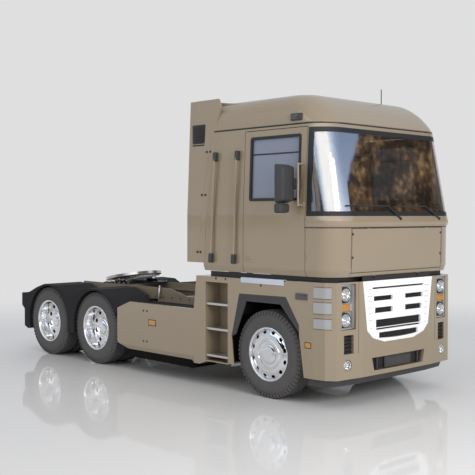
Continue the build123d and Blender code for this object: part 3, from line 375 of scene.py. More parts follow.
@dataclass(frozen=True)
class GlassFinish(Surface):
    """A clear or tinted glass.

    Attributes:
        transmission: Share of the light that goes through.
        roughness: Roughness of the surface.
        smudge: Frequency of the faint smears.
        ior: Index of refraction.
        coat: Weight of the extra gloss.
    """

    transmission: float = 0.8
    roughness: float = 0.02
    smudge: float = 6.0
    ior: float = 1.5
    coat: float = 0.5

    def wire(self, wires: Wiring, shader: bpy.types.Node) -> None:
        """Sets the material's shader up.

        Args:
            wires: The material's wiring.
            shader: Its shader.
        """
        grain = self.add_grain(wires, 0.1, self.smudge, self.roughness, 0.02)
        wires.feed(shader, {
            "Base Color": grain.outputs["Color"], "Roughness": grain.outputs["Roughness"],
            "Transmission Weight": self.transmission, "IOR": self.ior, "Coat Weight": self.coat,
            "Coat IOR": self.ior, "Coat Roughness": 0.02})


PAINT = Finish("tan_paint", (0.304, 0.242, 0.164), 0.30, 0.10, 0.8, grain=9.0, relief=0.0002, dust=0.04)
FRAME_PAINT = Finish("beige_frame_paint", (0.24, 0.20, 0.145), 0.42, dust=0.3)
MOULDED = Finish("dark_moulded_plastic", (0.040, 0.040, 0.042), 0.55, relief=0.0004, dust=0.1)
FENDER = Finish("black_fender_plastic", (0.016, 0.016, 0.018), 0.72, relief=0.0004, dust=0.04, specular=0.2)
# Near-black: the arch liners' own colour, and painted shade behind the wheels' hand holes and under the truck.
LINER_AND_SHADE = Finish("matt_black_liner_and_shade", (0.004, 0.004, 0.004), 0.9, relief=0.0006, dust=0.02, specular=0.1)
PALE_TREAD = Finish("pale_step_edge", (0.62, 0.66, 0.74), 0.3, 0.4, relief=0.0002, dust=0.05)
BLACK = Finish("black_chassis_paint", (0.02, 0.02, 0.022), 0.42, dust=0.3)
TREAD_PLATE = Finish("bright_tread_plate", (0.62, 0.61, 0.58), 0.3, 0.9, dust=0.15)
CHROME = Finish("polished_chrome", (0.82, 0.82, 0.83), 0.07, 1.0, mottle=0.04, relief=0.00002, dust=0.04)
RIM_CHROME = Finish("rippled_chrome", (0.88, 0.88, 0.89), 0.05, 1.0, mottle=0.04, grain=26.0, relief=0.0045,
                    dust=0.04)
SHIELD = Finish("bright_shield", (0.92, 0.92, 0.92), 0.25, 0.0, 0.6, mottle=0.02, relief=0.00003, dust=0.0)
STEEL = Finish("greased_steel", (0.55, 0.54, 0.52), 0.24, 1.0, mottle=0.25, spread=0.2, dust=0.1)
CASTING = Finish("painted_casting", (0.10, 0.10, 0.10), 0.5, relief=0.0008, dust=0.3)
RUBBER = Finish("tyre_rubber", (0.075, 0.073, 0.074), 0.8, relief=0.0006, dust=0.15)
TRIM = Finish("cab_trim", (0.10, 0.095, 0.09), 0.6, relief=0.0004, dust=0.0)
CLOTH = Finish("seat_cloth", (0.09, 0.09, 0.11), 0.9, grain=900.0, relief=0.0008, dust=0.0)
PILLOW = Finish("pillow_cloth", (0.50, 0.50, 0.48), 0.9, grain=700.0, relief=0.0006, dust=0.0)
AMBER = Finish("amber_lens", (0.50, 0.235, 0.03), 0.18, coat=0.8, relief=0.00005, dust=0.05)
SMOKED = Finish("smoked_lens", (0.055, 0.056, 0.06), 0.25, coat=0.6, relief=0.00005, dust=0.05)
# Black of gaskets, seams and rubber; also painted shade in the gap under the cab, over the tilt eyes and beside the
# corner panels.
GASKET_AND_SHADE = Finish("black_gasket_and_shade", (0.012, 0.012, 0.013), 0.38, relief=0.0001, dust=0.1)
HOUSING = Finish("pale_lamp_housing", (0.42, 0.43, 0.44), 0.3, 0.35, 0.4, relief=0.0001, dust=0.05)
# Satin grey of panels; also the painted shadow lines under the shield's slots.
SATIN_AND_SHADE = Finish("satin_grey_panel_and_shade", (0.36, 0.36, 0.37), 0.38, 0.1, 0.3, relief=0.0001, dust=0.1)
MIRROR = Finish("mirror_silver", (0.80, 0.82, 0.85), 0.03, 1.0, mottle=0.02, relief=0.00001, dust=0.0)
RED = Finish("red_lens", (0.42, 0.015, 0.012), 0.2, coat=0.8, relief=0.00005, dust=0.05)
SCREEN = GlassFinish("windscreen_glass", (0.50, 0.47, 0.42), 0.97, ior=2.2, coat=1.0)
PANE = GlassFinish("door_glass", (0.40, 0.46, 0.60), 0.5)
LENS = GlassFinish("lamp_lens", (0.85, 0.88, 0.9), 0.75)


# ---------------------------------------------------------------- mesh tools
def publish(name: str, mesh: bmesh.types.BMesh, finish: Surface, body: str,
            replaces: tuple[str, ...] = (), smooth: float = 35.0) -> bpy.types.Object:
    """Turns a bmesh into a finished piece that rides on a body.

    Args:
        name: The piece's name.
        mesh: Its shape, freed here.
        finish: Its finish.
        body: The body that carries it.
        replaces: CAD nodes that it stands for.
        smooth: Angle in degrees below which an edge is shaded smooth.

    Returns:
        The new object.
    """
    data = bpy.data.meshes.new(name)
    mesh.normal_update()
    mesh.to_mesh(data)
    mesh.free()
    piece = bpy.data.objects.new(name, data)
    bpy.context.scene.collection.objects.link(piece)
    data.materials.append(finish.material())
    data.shade_smooth()
    data.set_sharp_from_angle(angle=math.radians(smooth))
    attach(piece, body)
    if replaces:
        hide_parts(*replaces)
    LOG.info("piece %s on %s", name, body)
    return piece


def spin_section(mesh: bmesh.types.BMesh, corners: list[Point], centre: Point, axis: Axis,
                 steps: int) -> list[bmesh.types.BMFace]:
    """Turns an open section about an axis.

    Args:
        mesh: Where the faces go.
        corners: The section's corners.
        centre: A point on the axis.
        axis: Its direction.
        steps: Number of segments round.

    Returns:
        The new faces.
    """
    known = set(mesh.faces)
    verts = [mesh.verts.new(corner) for corner in corners]
    edges = [mesh.edges.new(pair) for pair in zip(verts, verts[1:])]
    bmesh.ops.spin(mesh, geom=verts + edges, cent=centre, axis=axis.value, dvec=(0.0, 0.0, 0.0),
                   angle=2 * math.pi, steps=steps, use_merge=True, use_duplicate=False)
    bmesh.ops.remove_doubles(mesh, verts=mesh.verts, dist=1e-6)
    fresh = [face for face in mesh.faces if face not in known]
    bmesh.ops.recalc_face_normals(mesh, faces=fresh)
    return fresh


def spin_profile(mesh: bmesh.types.BMesh, points: list[tuple[float, float]], centre: Point, side: Side,
                 steps: int = 72) -> list[bmesh.types.BMFace]:
    """Turns a profile of (distance out, radius) about an axle that runs along Y.

    Args:
        mesh: Where the faces go.
        points: Distance out from the truck's middle plane, and radius.
        centre: A point on the axle.
        side: The truck's side that the profile faces.
        steps: Number of segments round.

    Returns:
        The new faces.
    """
    corners = [(centre[0] + radius, side.value * out, centre[2]) for out, radius in points]
    return spin_section(mesh, corners, centre, Axis.Y, steps)


def soften(mesh: bmesh.types.BMesh, edges: list[bmesh.types.BMEdge], width: float, segments: int = 2) -> None:
    """Bevels edges.

    Args:
        mesh: Where they are.
        edges: The edges.
        width: Width of the bevel.
        segments: Number of its steps.
    """
    bmesh.ops.bevel(mesh, geom=edges, offset=width, offset_type="OFFSET", segments=segments, profile=0.5,
                    affect="EDGES", material=-1)


def add_block(mesh: bmesh.types.BMesh, first: Point, second: Point, turn: Matrix | None = None,
              edge: float = 0.0) -> list[bmesh.types.BMVert]:
    """Adds a block between two opposite corners.

    Args:
        mesh: Where it goes.
        first: One corner.
        second: The opposite corner.
        turn: A placing applied after that.
        edge: Width of the bevel along its edges.

    Returns:
        Its corners, or none of them once they are bevelled.
    """
    size = [abs(b - a) for a, b in zip(first, second)]
    middle = [(a + b) / 2 for a, b in zip(first, second)]
    place = Matrix.Translation(middle) @ Matrix.Diagonal((*size, 1.0))
    verts = bmesh.ops.create_cube(mesh, size=1.0, matrix=(turn or Matrix()) @ place)["verts"]
    if edge:
        soften(mesh, list({e for v in verts for e in v.link_edges}), edge)
        return []
    return verts


def add_blocks(mesh: bmesh.types.BMesh, rows: Iterable[tuple[float, ...]]) -> None:
    """Adds blocks from a table.

    Args:
        mesh: Where they go.
        rows: X from the front axle, Y and Z of two opposite corners, then the width of the bevel.
    """
    for x0, y0, z0, x1, y1, z1, edge in rows:
        add_block(mesh, (FRONT_AXLE_X + x0, y0, z0), (FRONT_AXLE_X + x1, y1, z1), edge=edge)


def publish_blocks(name: str, finish: Surface, body: str, rows: Iterable[tuple[float, ...]],
                   smooth: float = 35.0) -> None:
    """Makes a piece out of blocks.

    Args:
        name: The piece's name.
        finish: Its finish.
        body: The body that carries it.
        rows: Its blocks, as add_blocks takes them.
        smooth: Angle in degrees below which an edge is shaded smooth.
    """
    mesh = bmesh.new()
    add_blocks(mesh, rows)
    publish(name, mesh, finish, body, smooth=smooth)


def draw_out(mesh: bmesh.types.BMesh, grown: dict[str, list], reach: float) -> None:
    """Moves what an extrusion has made along Y.

    Args:
        mesh: Where it is.
        grown: What the extrusion gave.
        reach: How far it moves.
    """
    bmesh.ops.translate(mesh, verts=[g for g in grown["geom"] if isinstance(g, bmesh.types.BMVert)],
                        vec=Vector((0.0, reach, 0.0)))


def add_plate(mesh: bmesh.types.BMesh, outline: tuple[tuple[float, float], ...], y: float, reach: float) -> None:
    """Adds a flat plate that shows its outline in side view.

    Args:
        mesh: Where it goes.
        outline: X from the front axle, and Z, of its corners.
        y: Place of its first face.
        reach: How far its second face lies from that.
    """
    face = mesh.faces.new([mesh.verts.new((FRONT_AXLE_X + x, y, z)) for x, z in outline])
    draw_out(mesh, bmesh.ops.extrude_face_region(mesh, geom=[face]), reach)
    bmesh.ops.recalc_face_normals(mesh, faces=mesh.faces)


def faces_of(verts: Iterable[bmesh.types.BMVert]) -> list[bmesh.types.BMFace]:
    """Faces that touch any of these points."""
    return list({face for vert in verts if vert.is_valid for face in vert.link_faces})


def lay_sheet(mesh: bmesh.types.BMesh, columns: int, rows: int, place: Callable[[float, float], Vector],
              thick: float = 0.0) -> list[bmesh.types.BMVert]:
    """Lays a sheet that faces away from the cab's inside.

    Args:
        mesh: Where it goes.
        columns: Number of steps along it.
        rows: Number of steps up it.
        place: The point at two shares of its way, from 0 to 1.
        thick: Its thickness, laid inward, or 0 for a bare face.

    Returns:
        The points of its face.
    """
    made = bmesh.ops.create_grid(mesh, x_segments=columns, y_segments=rows, size=0.5)["verts"]
    for vert in made:
        vert.co = place(vert.co.x + 0.5, vert.co.y + 0.5)
    faces = faces_of(made)
    bmesh.ops.recalc_face_normals(mesh, faces=faces)
    outward = faces[0].calc_center_median() - Vector((FRONT_AXLE_X - 0.2, 0.0, 0.0))
    outward.z = 0.0
    if faces[0].normal.dot(outward) < 0:
        bmesh.ops.reverse_faces(mesh, faces=faces)
    if thick:
        bmesh.ops.solidify(mesh, geom=faces, thickness=thick)
    return made


def read_table(table: tuple[tuple[float, float], ...], place: float) -> float:
    """Value of a table at a place between two of its rows.

    Args:
        table: Place and value of each row, rising.
        place: The place.

    Returns:
        The value.
    """
    for (low, first), (high, second) in zip(table, table[1:]):
        if place <= high:
            break
    return first + (second - first) * (place - low) / (high - low)


def add_tube(mesh: bmesh.types.BMesh, start: Point, end: Point, radius: float, segments: int = 16,
             end_radius: float | None = None) -> None:
    """Adds a round bar between two points.

    Args:
        mesh: Where it goes.
        start: Middle of its first end.
        end: Middle of its other end.
        radius: Its radius.
        segments: Number of sides.
        end_radius: Radius at the other end, if that differs.
    """
    reach = Vector(end) - Vector(start)
    place = Matrix.Translation((Vector(start) + Vector(end)) / 2) @ reach.to_track_quat("Z", "Y").to_matrix().to_4x4()
    bmesh.ops.create_cone(mesh, cap_ends=True, segments=segments, radius1=radius,
                          radius2=radius if end_radius is None else end_radius, depth=reach.length, matrix=place)


# ---------------------------------------------------------------- wheels
@dataclass
class Tyre:
    """A road tyre with ribs, grooves and shoulder lugs.

    Attributes:
        centre: A point on its axle.
        face: Distance of its outer wall from the middle plane.
        width: Width of its section.
        radius: Radius over the tread.
        bore: Radius of its seat.
        lugs: Lugs round each shoulder, and pads round each middle rib.
        groove: Depth of the grooves.
        ribs: Ribs across the tread.
        shoulder: Distance of the tread's edge from the wall.
    """

    centre: Point
    face: float
    width: float
    radius: float = 0.55
    bore: float = 0.322
    lugs: int = 60
    groove: float = 0.019
    ribs: int = 5
    shoulder: float = 0.034

    def profile(self) -> list[tuple[float, float]]:
        """Section from the inner bead over the tread to the outer bead.

        Returns:
            Points of distance out and radius.
        """
        half = self.width / 2
        middle = self.face - half
        tread = half - self.shoulder
        wall = [(half - 0.026, self.bore), (half - 0.010, self.bore + 0.012), (half - 0.004, self.bore + 0.05),
                (half - 0.0005, self.bore + 0.10), (half - 0.002, self.radius - 0.080),
                (half - 0.012, self.radius - 0.062), (half - 0.022, self.radius - 0.040),
                (half - 0.032, self.radius - 0.024)]
        rib = 2 * tread / self.ribs
        crown: list[tuple[float, float]] = []
        for i in range(self.ribs):
            left = -tread + i * rib
            dip = 0.004 if i in (0, self.ribs - 1) else 0.0
            crown += [(left + 0.004, self.radius - self.groove * (0.9 if i else 1.0)),
                      (left + 0.006, self.radius - dip - 0.0005), (left + rib - 0.006, self.radius - dip - 0.0005),
                      (left + rib - 0.004, self.radius - self.groove)]
        return [(middle - y, r) for y, r in wall] + [(middle + y, r) for y, r in crown + wall[::-1]]

    def add_to(self, mesh: bmesh.types.BMesh, side: Side) -> None:
        """Adds the tyre to a mesh.

        Args:
            mesh: Where it goes.
            side: The truck's side.
        """
        spin_profile(mesh, self.profile(), self.centre, side, steps=132)
        step = 2 * math.pi / self.lugs
        half = self.width / 2
        for flank in (-1, 1):
            middle = side.value * (self.face - half)
            inner = middle + flank * (half - 0.062)
            outer = middle + flank * (half - 0.006)
            for i in range(self.lugs):
                turn = Matrix.Translation(self.centre) @ Matrix.Rotation(i * step, 4, "Y")
                width = 0.29 * step * self.radius
                verts = add_block(mesh, (-width, inner, self.radius - 0.058),
                                  (width, outer, self.radius - 0.0008), turn)
                self._taper(verts, turn, flank, middle + flank * half)

    def _taper(self, verts: list[bmesh.types.BMVert], turn: Matrix, flank: int, wall: float) -> None:
        """Leans a lug's outer face in toward the tread.

        Args:
            verts: The lug's corners.
            turn: Its placing.
            flank: Which shoulder it is on.
            wall: Place of the tyre's wall.
        """
        back = turn.inverted()
        for vert in verts:
            local = back @ vert.co
            if local.z > self.radius - 0.02 and (local.y - wall) * flank > -0.02:
                local.y -= flank * 0.020
                local.z -= 0.004
                vert.co = turn @ local

    def tread_blocks(self, mesh: bmesh.types.BMesh, side: Side) -> None:
        """Cuts the look of separate blocks into the middle ribs with raised pads.

        Args:
            mesh: Where the pads go.
            side: The truck's side.
        """
        step = 2 * math.pi / self.lugs
        middle = side.value * (self.face - self.width / 2)
        rib = 2 * (self.width / 2 - self.shoulder) / self.ribs
        for row in (-1, 0, 1):
            for i in range(self.lugs):
                turn = (Matrix.Translation(self.centre)
                        @ Matrix.Rotation((i + 0.33 * row) * step, 4, "Y"))
                y = middle + row * rib
                add_block(mesh, (-0.019, y - rib / 2 + 0.006, self.radius - 0.012),
                          (0.019, y + rib / 2 - 0.006, self.radius - 0.0002), turn)


class RimStyle(Enum):
    """How a wheel faces outward."""

    PROUD = "proud"
    DISHED = "dished"


@dataclass
class Rim:
    """A polished disc wheel with hand holes.

    Attributes:
        centre: A point on its axle.
        face: Distance of its outer flange from the middle plane.
        style: Whether its disc lies near the face or deep inside.
        depth: Depth of the barrel.
        flange: Radius over the flange.
        holes: Number of hand holes.
        nuts: Number of wheel nuts.
        nut_circle: Radius of the circle that they stand on.
    """

    centre: Point
    face: float
    style: RimStyle
    depth: float
    flange: float = 0.336
    holes: int = 12
    nuts: int = 10
    nut_circle: float = 0.190

    def add_barrel(self, mesh: bmesh.types.BMesh, side: Side) -> None:
        """Adds the flange and the barrel.

        Args:
            mesh: Where they go.
            side: The truck's side.
        """
        f = self.face
        ring = [(f - 0.030, 0.3218), (f - 0.020, 0.3222), (f - 0.014, self.flange - 0.002), (f - 0.009, self.flange),
                (f - 0.006, self.flange - 0.006), (f - 0.007, self.flange - 0.016), (f - 0.018, 0.309),
                (f - 0.045, 0.304), (f - self.depth, 0.297), (f - self.depth, 0.312), (f - 0.030, 0.3218)]
        spin_profile(mesh, ring, self.centre, side, 96)

    def add_disc(self, mesh: bmesh.types.BMesh, side: Side) -> None:
        """Adds the pierced disc and the hub.

        Args:
            mesh: Where they go.
            side: The truck's side.
        """
        if self.style is RimStyle.PROUD:
            f = self.face
            plate = [(f - 0.056, 0.311), (f - 0.046, 0.304), (f - 0.039, 0.298), (f - 0.035, 0.292), (f - 0.032, 0.285),
                     (f - 0.029, 0.278), (f - 0.027, 0.271), (f - 0.025, 0.263), (f - 0.019, 0.252), (f - 0.018, 0.215)]
            hub = [(f - 0.018, 0.215), (f - 0.018, 0.192), (f - 0.010, 0.186), (f - 0.005, 0.178), (f - 0.006, 0.170),
                   (f - 0.018, 0.163), (f - 0.021, 0.150), (f - 0.021, 0.129), (f - 0.009, 0.123), (f - 0.004, 0.110),
                   (f - 0.003, 0.060), (f - 0.003, 0.0)]
        else:
            deep = self.face - 0.200
            plate = [(deep - 0.030, 0.303), (deep - 0.010, 0.296), (deep, 0.288), (deep + 0.004, 0.281),
                     (deep + 0.004, 0.272), (deep + 0.003, 0.262), (deep + 0.002, 0.252), (deep + 0.001, 0.242),
                     (deep, 0.232), (deep - 0.002, 0.222), (deep - 0.004, 0.168)]
            hub = [(deep - 0.004, 0.168), (deep, 0.150), (deep + 0.020, 0.142), (deep + 0.060, 0.134),
                   (deep + 0.066, 0.128), (deep + 0.068, 0.116), (deep + 0.090, 0.112), (deep + 0.096, 0.102),
                   (deep + 0.096, 0.0)]
        faces = spin_profile(mesh, plate, self.centre, side, self.holes * 8)
        for i in range(self.holes):
            self._pierce(mesh, faces, side, (i + 0.5) * 2 * math.pi / self.holes)
        spin_profile(mesh, hub, self.centre, side, 64)

    def _pierce(self, mesh: bmesh.types.BMesh, faces: list[bmesh.types.BMFace], side: Side, turn: float) -> None:
        """Cuts one oval hand hole through the disc.

        Args:
            mesh: The wheel's mesh.
            faces: The disc's faces.
            side: The truck's side.
            turn: Bearing of the hole.
        """
        middle, wide, high = (0.279, 0.029, 0.0205) if self.style is RimStyle.PROUD else (0.252, 0.034, 0.026)
        out = Vector((math.cos(turn), 0.0, math.sin(turn)))
        along = Vector((-math.sin(turn), 0.0, math.cos(turn)))
        heart = Vector(self.centre) + out * middle
        patch = []
        for face in faces:
            if face.is_valid:
                reach = face.calc_center_median() - heart
                if (reach.dot(out) / high) ** 2 + (reach.dot(along) / wide) ** 2 < 1.0:
                    patch.append(face)
        known = set(patch)
        rim = [e for e in {e for face in patch for e in face.edges} if sum(f in known for f in e.link_faces) == 1]
        bmesh.ops.delete(mesh, geom=patch, context="FACES")
        for vert in {v for e in rim for v in e.verts}:
            reach = vert.co - heart
            bearing = math.atan2(reach.dot(out) / high, reach.dot(along) / wide)
            level = vert.co.y
            vert.co = heart + out * (high * math.sin(bearing)) + along * (wide * math.cos(bearing))
            vert.co.y = level
        skirt = bmesh.ops.extrude_edge_only(mesh, edges=rim)["geom"]
        bmesh.ops.translate(mesh, verts=[g for g in skirt if isinstance(g, bmesh.types.BMVert)],
                            vec=Vector((0.0, -side.value * 0.016, 0.0)))

    def add_backing(self, mesh: bmesh.types.BMesh, side: Side) -> None:
        """Adds the near-black ring behind the hand holes: the wheel's brake parts, darkened as painted shade inside the
        wheel.

        Args:
            mesh: Where it goes.
            side: The truck's side.
        """
        deep = self.face - (0.095 if self.style is RimStyle.PROUD else 0.240)
        spin_profile(mesh, [(deep, 0.170), (deep + 0.012, 0.180), (deep + 0.012, 0.286), (deep, 0.292),
                            (deep - 0.020, 0.292), (deep - 0.020, 0.170), (deep, 0.170)], self.centre, side, 48)

    def add_nuts(self, mesh: bmesh.types.BMesh, side: Side) -> None:
        """Adds the wheel nuts.

        Args:
            mesh: Where they go.
            side: The truck's side.
        """
        if self.style is RimStyle.PROUD:
            return
        base = self.face - 0.206
        for i in range(self.nuts):
            turn = i * 2 * math.pi / self.nuts
            x = self.centre[0] + self.nut_circle * math.cos(turn)
            z = self.centre[2] + self.nut_circle * math.sin(turn)
            add_tube(mesh, (x, side.value * base, z), (x, side.value * (base + 0.030), z), 0.015, 6, 0.011)


@dataclass
class WheelSet:
    """All ten tyres and their rims.

    Attributes:
        axle_height: Height of every axle.
        front_x: Place of the steered axle.
        driven: Name and place of each driven axle.
        front_face: Distance of a front tyre's wall from the middle plane.
        rear_face: The same for a driven pair.
        front_width: Width of a front tyre.
        rear_width: Width of a driven tyre.
        twin_gap: Gap between the two tyres of a pair.
    """

    axle_height: float = 0.55
    front_x: float = FRONT_AXLE_X
    driven: tuple[tuple[str, float], ...] = (("middle", FRONT_AXLE_X - 3.68), ("rear", FRONT_AXLE_X - 5.0))
    front_face: float = 1.221
    rear_face: float = 1.235
    front_width: float = 0.300
    rear_width: float = 0.276
    twin_gap: float = 0.044

    def build(self) -> None:
        """Makes the wheels on both sides."""
        for side in Side:
            self._front(side)
            for place, x in self.driven:
                self._twin(side, place, x)

    def _front(self, side: Side) -> None:
        """Makes one steered wheel.

        Args:
            side: The truck's side.
        """
        body = f"front_wheel_{side.word}"
        centre = (self.front_x, 0.0, self.axle_height)
        mesh = bmesh.new()
        tyre = Tyre(centre, self.front_face, self.front_width)
        tyre.add_to(mesh, side)
        tyre.tread_blocks(mesh, side)
        publish(f"steer_tyre_{side.word}", mesh, RUBBER, body, (f"front_tyre_{side.word}",), 30.0)
        mesh = bmesh.new()
        rim = Rim(centre, self.front_face, RimStyle.PROUD, 0.27)
        rim.add_barrel(mesh, side)
        rim.add_disc(mesh, side)
        publish(f"steer_rim_{side.word}", mesh, CHROME, body, (f"front_rim_{side.word}",), 40.0)
        mesh = bmesh.new()
        # Near-black ring behind the hand holes: brake parts and painted shade inside the wheel.
        rim.add_backing(mesh, side)
        publish(f"steer_drum_{side.word}", mesh, LINER_AND_SHADE, body)

    def _twin(self, side: Side, place: str, x: float) -> None:
        """Makes one driven pair.

        Args:
            side: The truck's side.
            place: Which axle it is on.
            x: Where that axle lies.
        """
        body = f"{place}_wheels_{side.word}"
        centre = (x, 0.0, self.axle_height)
        mesh = bmesh.new()
        for face in (self.rear_face, self.rear_face - self.rear_width - self.twin_gap):
            tyre = Tyre(centre, face, self.rear_width)
            tyre.add_to(mesh, side)
            tyre.tread_blocks(mesh, side)
        publish(f"{place}_twin_tyres_{side.word}", mesh, RUBBER, body, (f"{place}_tyres_{side.word}",), 30.0)
        mesh = bmesh.new()
        rim = Rim(centre, self.rear_face, RimStyle.DISHED, 0.26, holes=10)
        rim.add_barrel(mesh, side)
        rim.add_disc(mesh, side)
        rim.add_nuts(mesh, side)
        inner = Rim(centre, self.rear_face - self.rear_width - self.twin_gap, RimStyle.DISHED, 0.25)
        inner.add_barrel(mesh, side)
        publish(f"{place}_twin_rims_{side.word}", mesh, RIM_CHROME, body, (f"{place}_rims_{side.word}",), 40.0)
        mesh = bmesh.new()
        # Near-black ring behind the hand holes: brake parts and painted shade inside the wheel.
        rim.add_backing(mesh, side)
        publish(f"{place}_drum_{side.word}", mesh, LINER_AND_SHADE, body)


# ---------------------------------------------------------------- cab surface
@dataclass(frozen=True)
class Station:
    """A place round the cab's outline, across the front or along a flank.

    Attributes:
        along: Axis.Y for a place across the front, Axis.X for one along a flank.
        value: Its coordinate, with X measured from the front axle.
        side: The flank that it lies on.
    """

    along: Axis
    value: float
    side: Side = Side.RIGHT


@dataclass
class CabSkin:
    """The cab's outer surface, level by level.

    Attributes:
        levels: Height, front face, half width and front corner radius of each level.
        shift: Place of the front axle.
        rear: Rear face of the cab; not used.
    """

    levels: tuple[tuple[float, float, float, float], ...] = (
        (1.550, 1.060, 1.222, 0.262), (1.625, 1.086, 1.250, 0.290), (2.280, 1.100, 1.247, 0.300),
        (3.380, 0.895, 1.202, 0.290), (3.520, 0.785, 1.190, 0.285), (3.640, 0.655, 1.150, 0.270),
        (3.725, 0.530, 1.070, 0.240), (3.770, 0.380, 0.950, 0.200))
    shift: float = FRONT_AXLE_X
    rear: float = -1.200

    def at(self, z: float) -> tuple[float, float, float]:
        """Front face, half width and corner radius at a height.

        Args:
            z: The height.

        Returns:
            The three sizes, with the front face measured from the front axle.
        """
        z = min(max(z, self.levels[0][0]), self.levels[-1][0])
        for low, high in zip(self.levels, self.levels[1:]):
            if z <= high[0]:
                t = (z - low[0]) / (high[0] - low[0])
                return tuple(a + t * (b - a) for a, b in zip(low[1:], high[1:]))
        return self.levels[-1][1:]

    def reach(self, place: Station, z: float) -> float:
        """Signed distance round the outline from the middle of the front.

        Args:
            place: The place.
            z: The height.

        Returns:
            The distance, positive toward the left flank.
        """
        if place.along is Axis.Y:
            return place.value
        front, half, radius = self.at(z)
        base = half - radius
        bend = front - radius
        if place.value >= bend:
            turn = math.acos(min(1.0, max(-1.0, (place.value - bend) / radius)))
            return place.side.value * (base + radius * turn)
        return place.side.value * (base + radius * math.pi / 2 + bend - place.value)

    def point(self, reach: float, z: float, lift: float) -> Vector:
        """The point at that distance round the outline.

        Args:
            reach: Signed distance from the middle of the front.
            z: The height.
            lift: How far it stands off the surface.

        Returns:
            The point in the row frame.
        """
        front, half, radius = self.at(z)
        base = half - radius
        sign = 1.0 if reach >= 0 else -1.0
        far = abs(reach)
        if far <= base:
            return Vector((self.shift + front + lift, reach, z))
        turn = (far - base) / radius
        if turn <= math.pi / 2:
            return Vector((self.shift + front - radius + (radius + lift) * math.cos(turn),
                           sign * (base + (radius + lift) * math.sin(turn)), z))
        back = far - base - radius * math.pi / 2
        return Vector((self.shift + front - radius - back, sign * (half + lift), z))


SKIN = CabSkin()


def add_band(mesh: bmesh.types.BMesh, start: Station, end: Station, low: float, high: float,
             lift: float = 0.002, columns: int = 24, rows: int = 4, thick: float = 0.004) -> None:
    """Lays a strip on the cab's surface.

    Args:
        mesh: Where it goes.
        start: Its first end.
        end: Its other end.
        low: Its lower edge.
        high: Its upper edge.
        lift: How far it stands off the surface.
        columns: Number of steps along it.
        rows: Number of steps up it.
        thick: Its thickness, laid inward.
    """
    def place(u: float, v: float) -> Vector:
        """Point of the strip at two shares of its way.

        Args:
            u: Share of its length.
            v: Share of its height.

        Returns:
            The point.
        """
        z = low + v * (high - low)
        first, last = SKIN.reach(start, z), SKIN.reach(end, z)
        return SKIN.point(first + u * (last - first), z, lift)

    lay_sheet(mesh, columns, rows, place, thick)


def flank(value: float, side: Side) -> Station:
    """A place along a flank."""
    return Station(Axis.X, value, side)


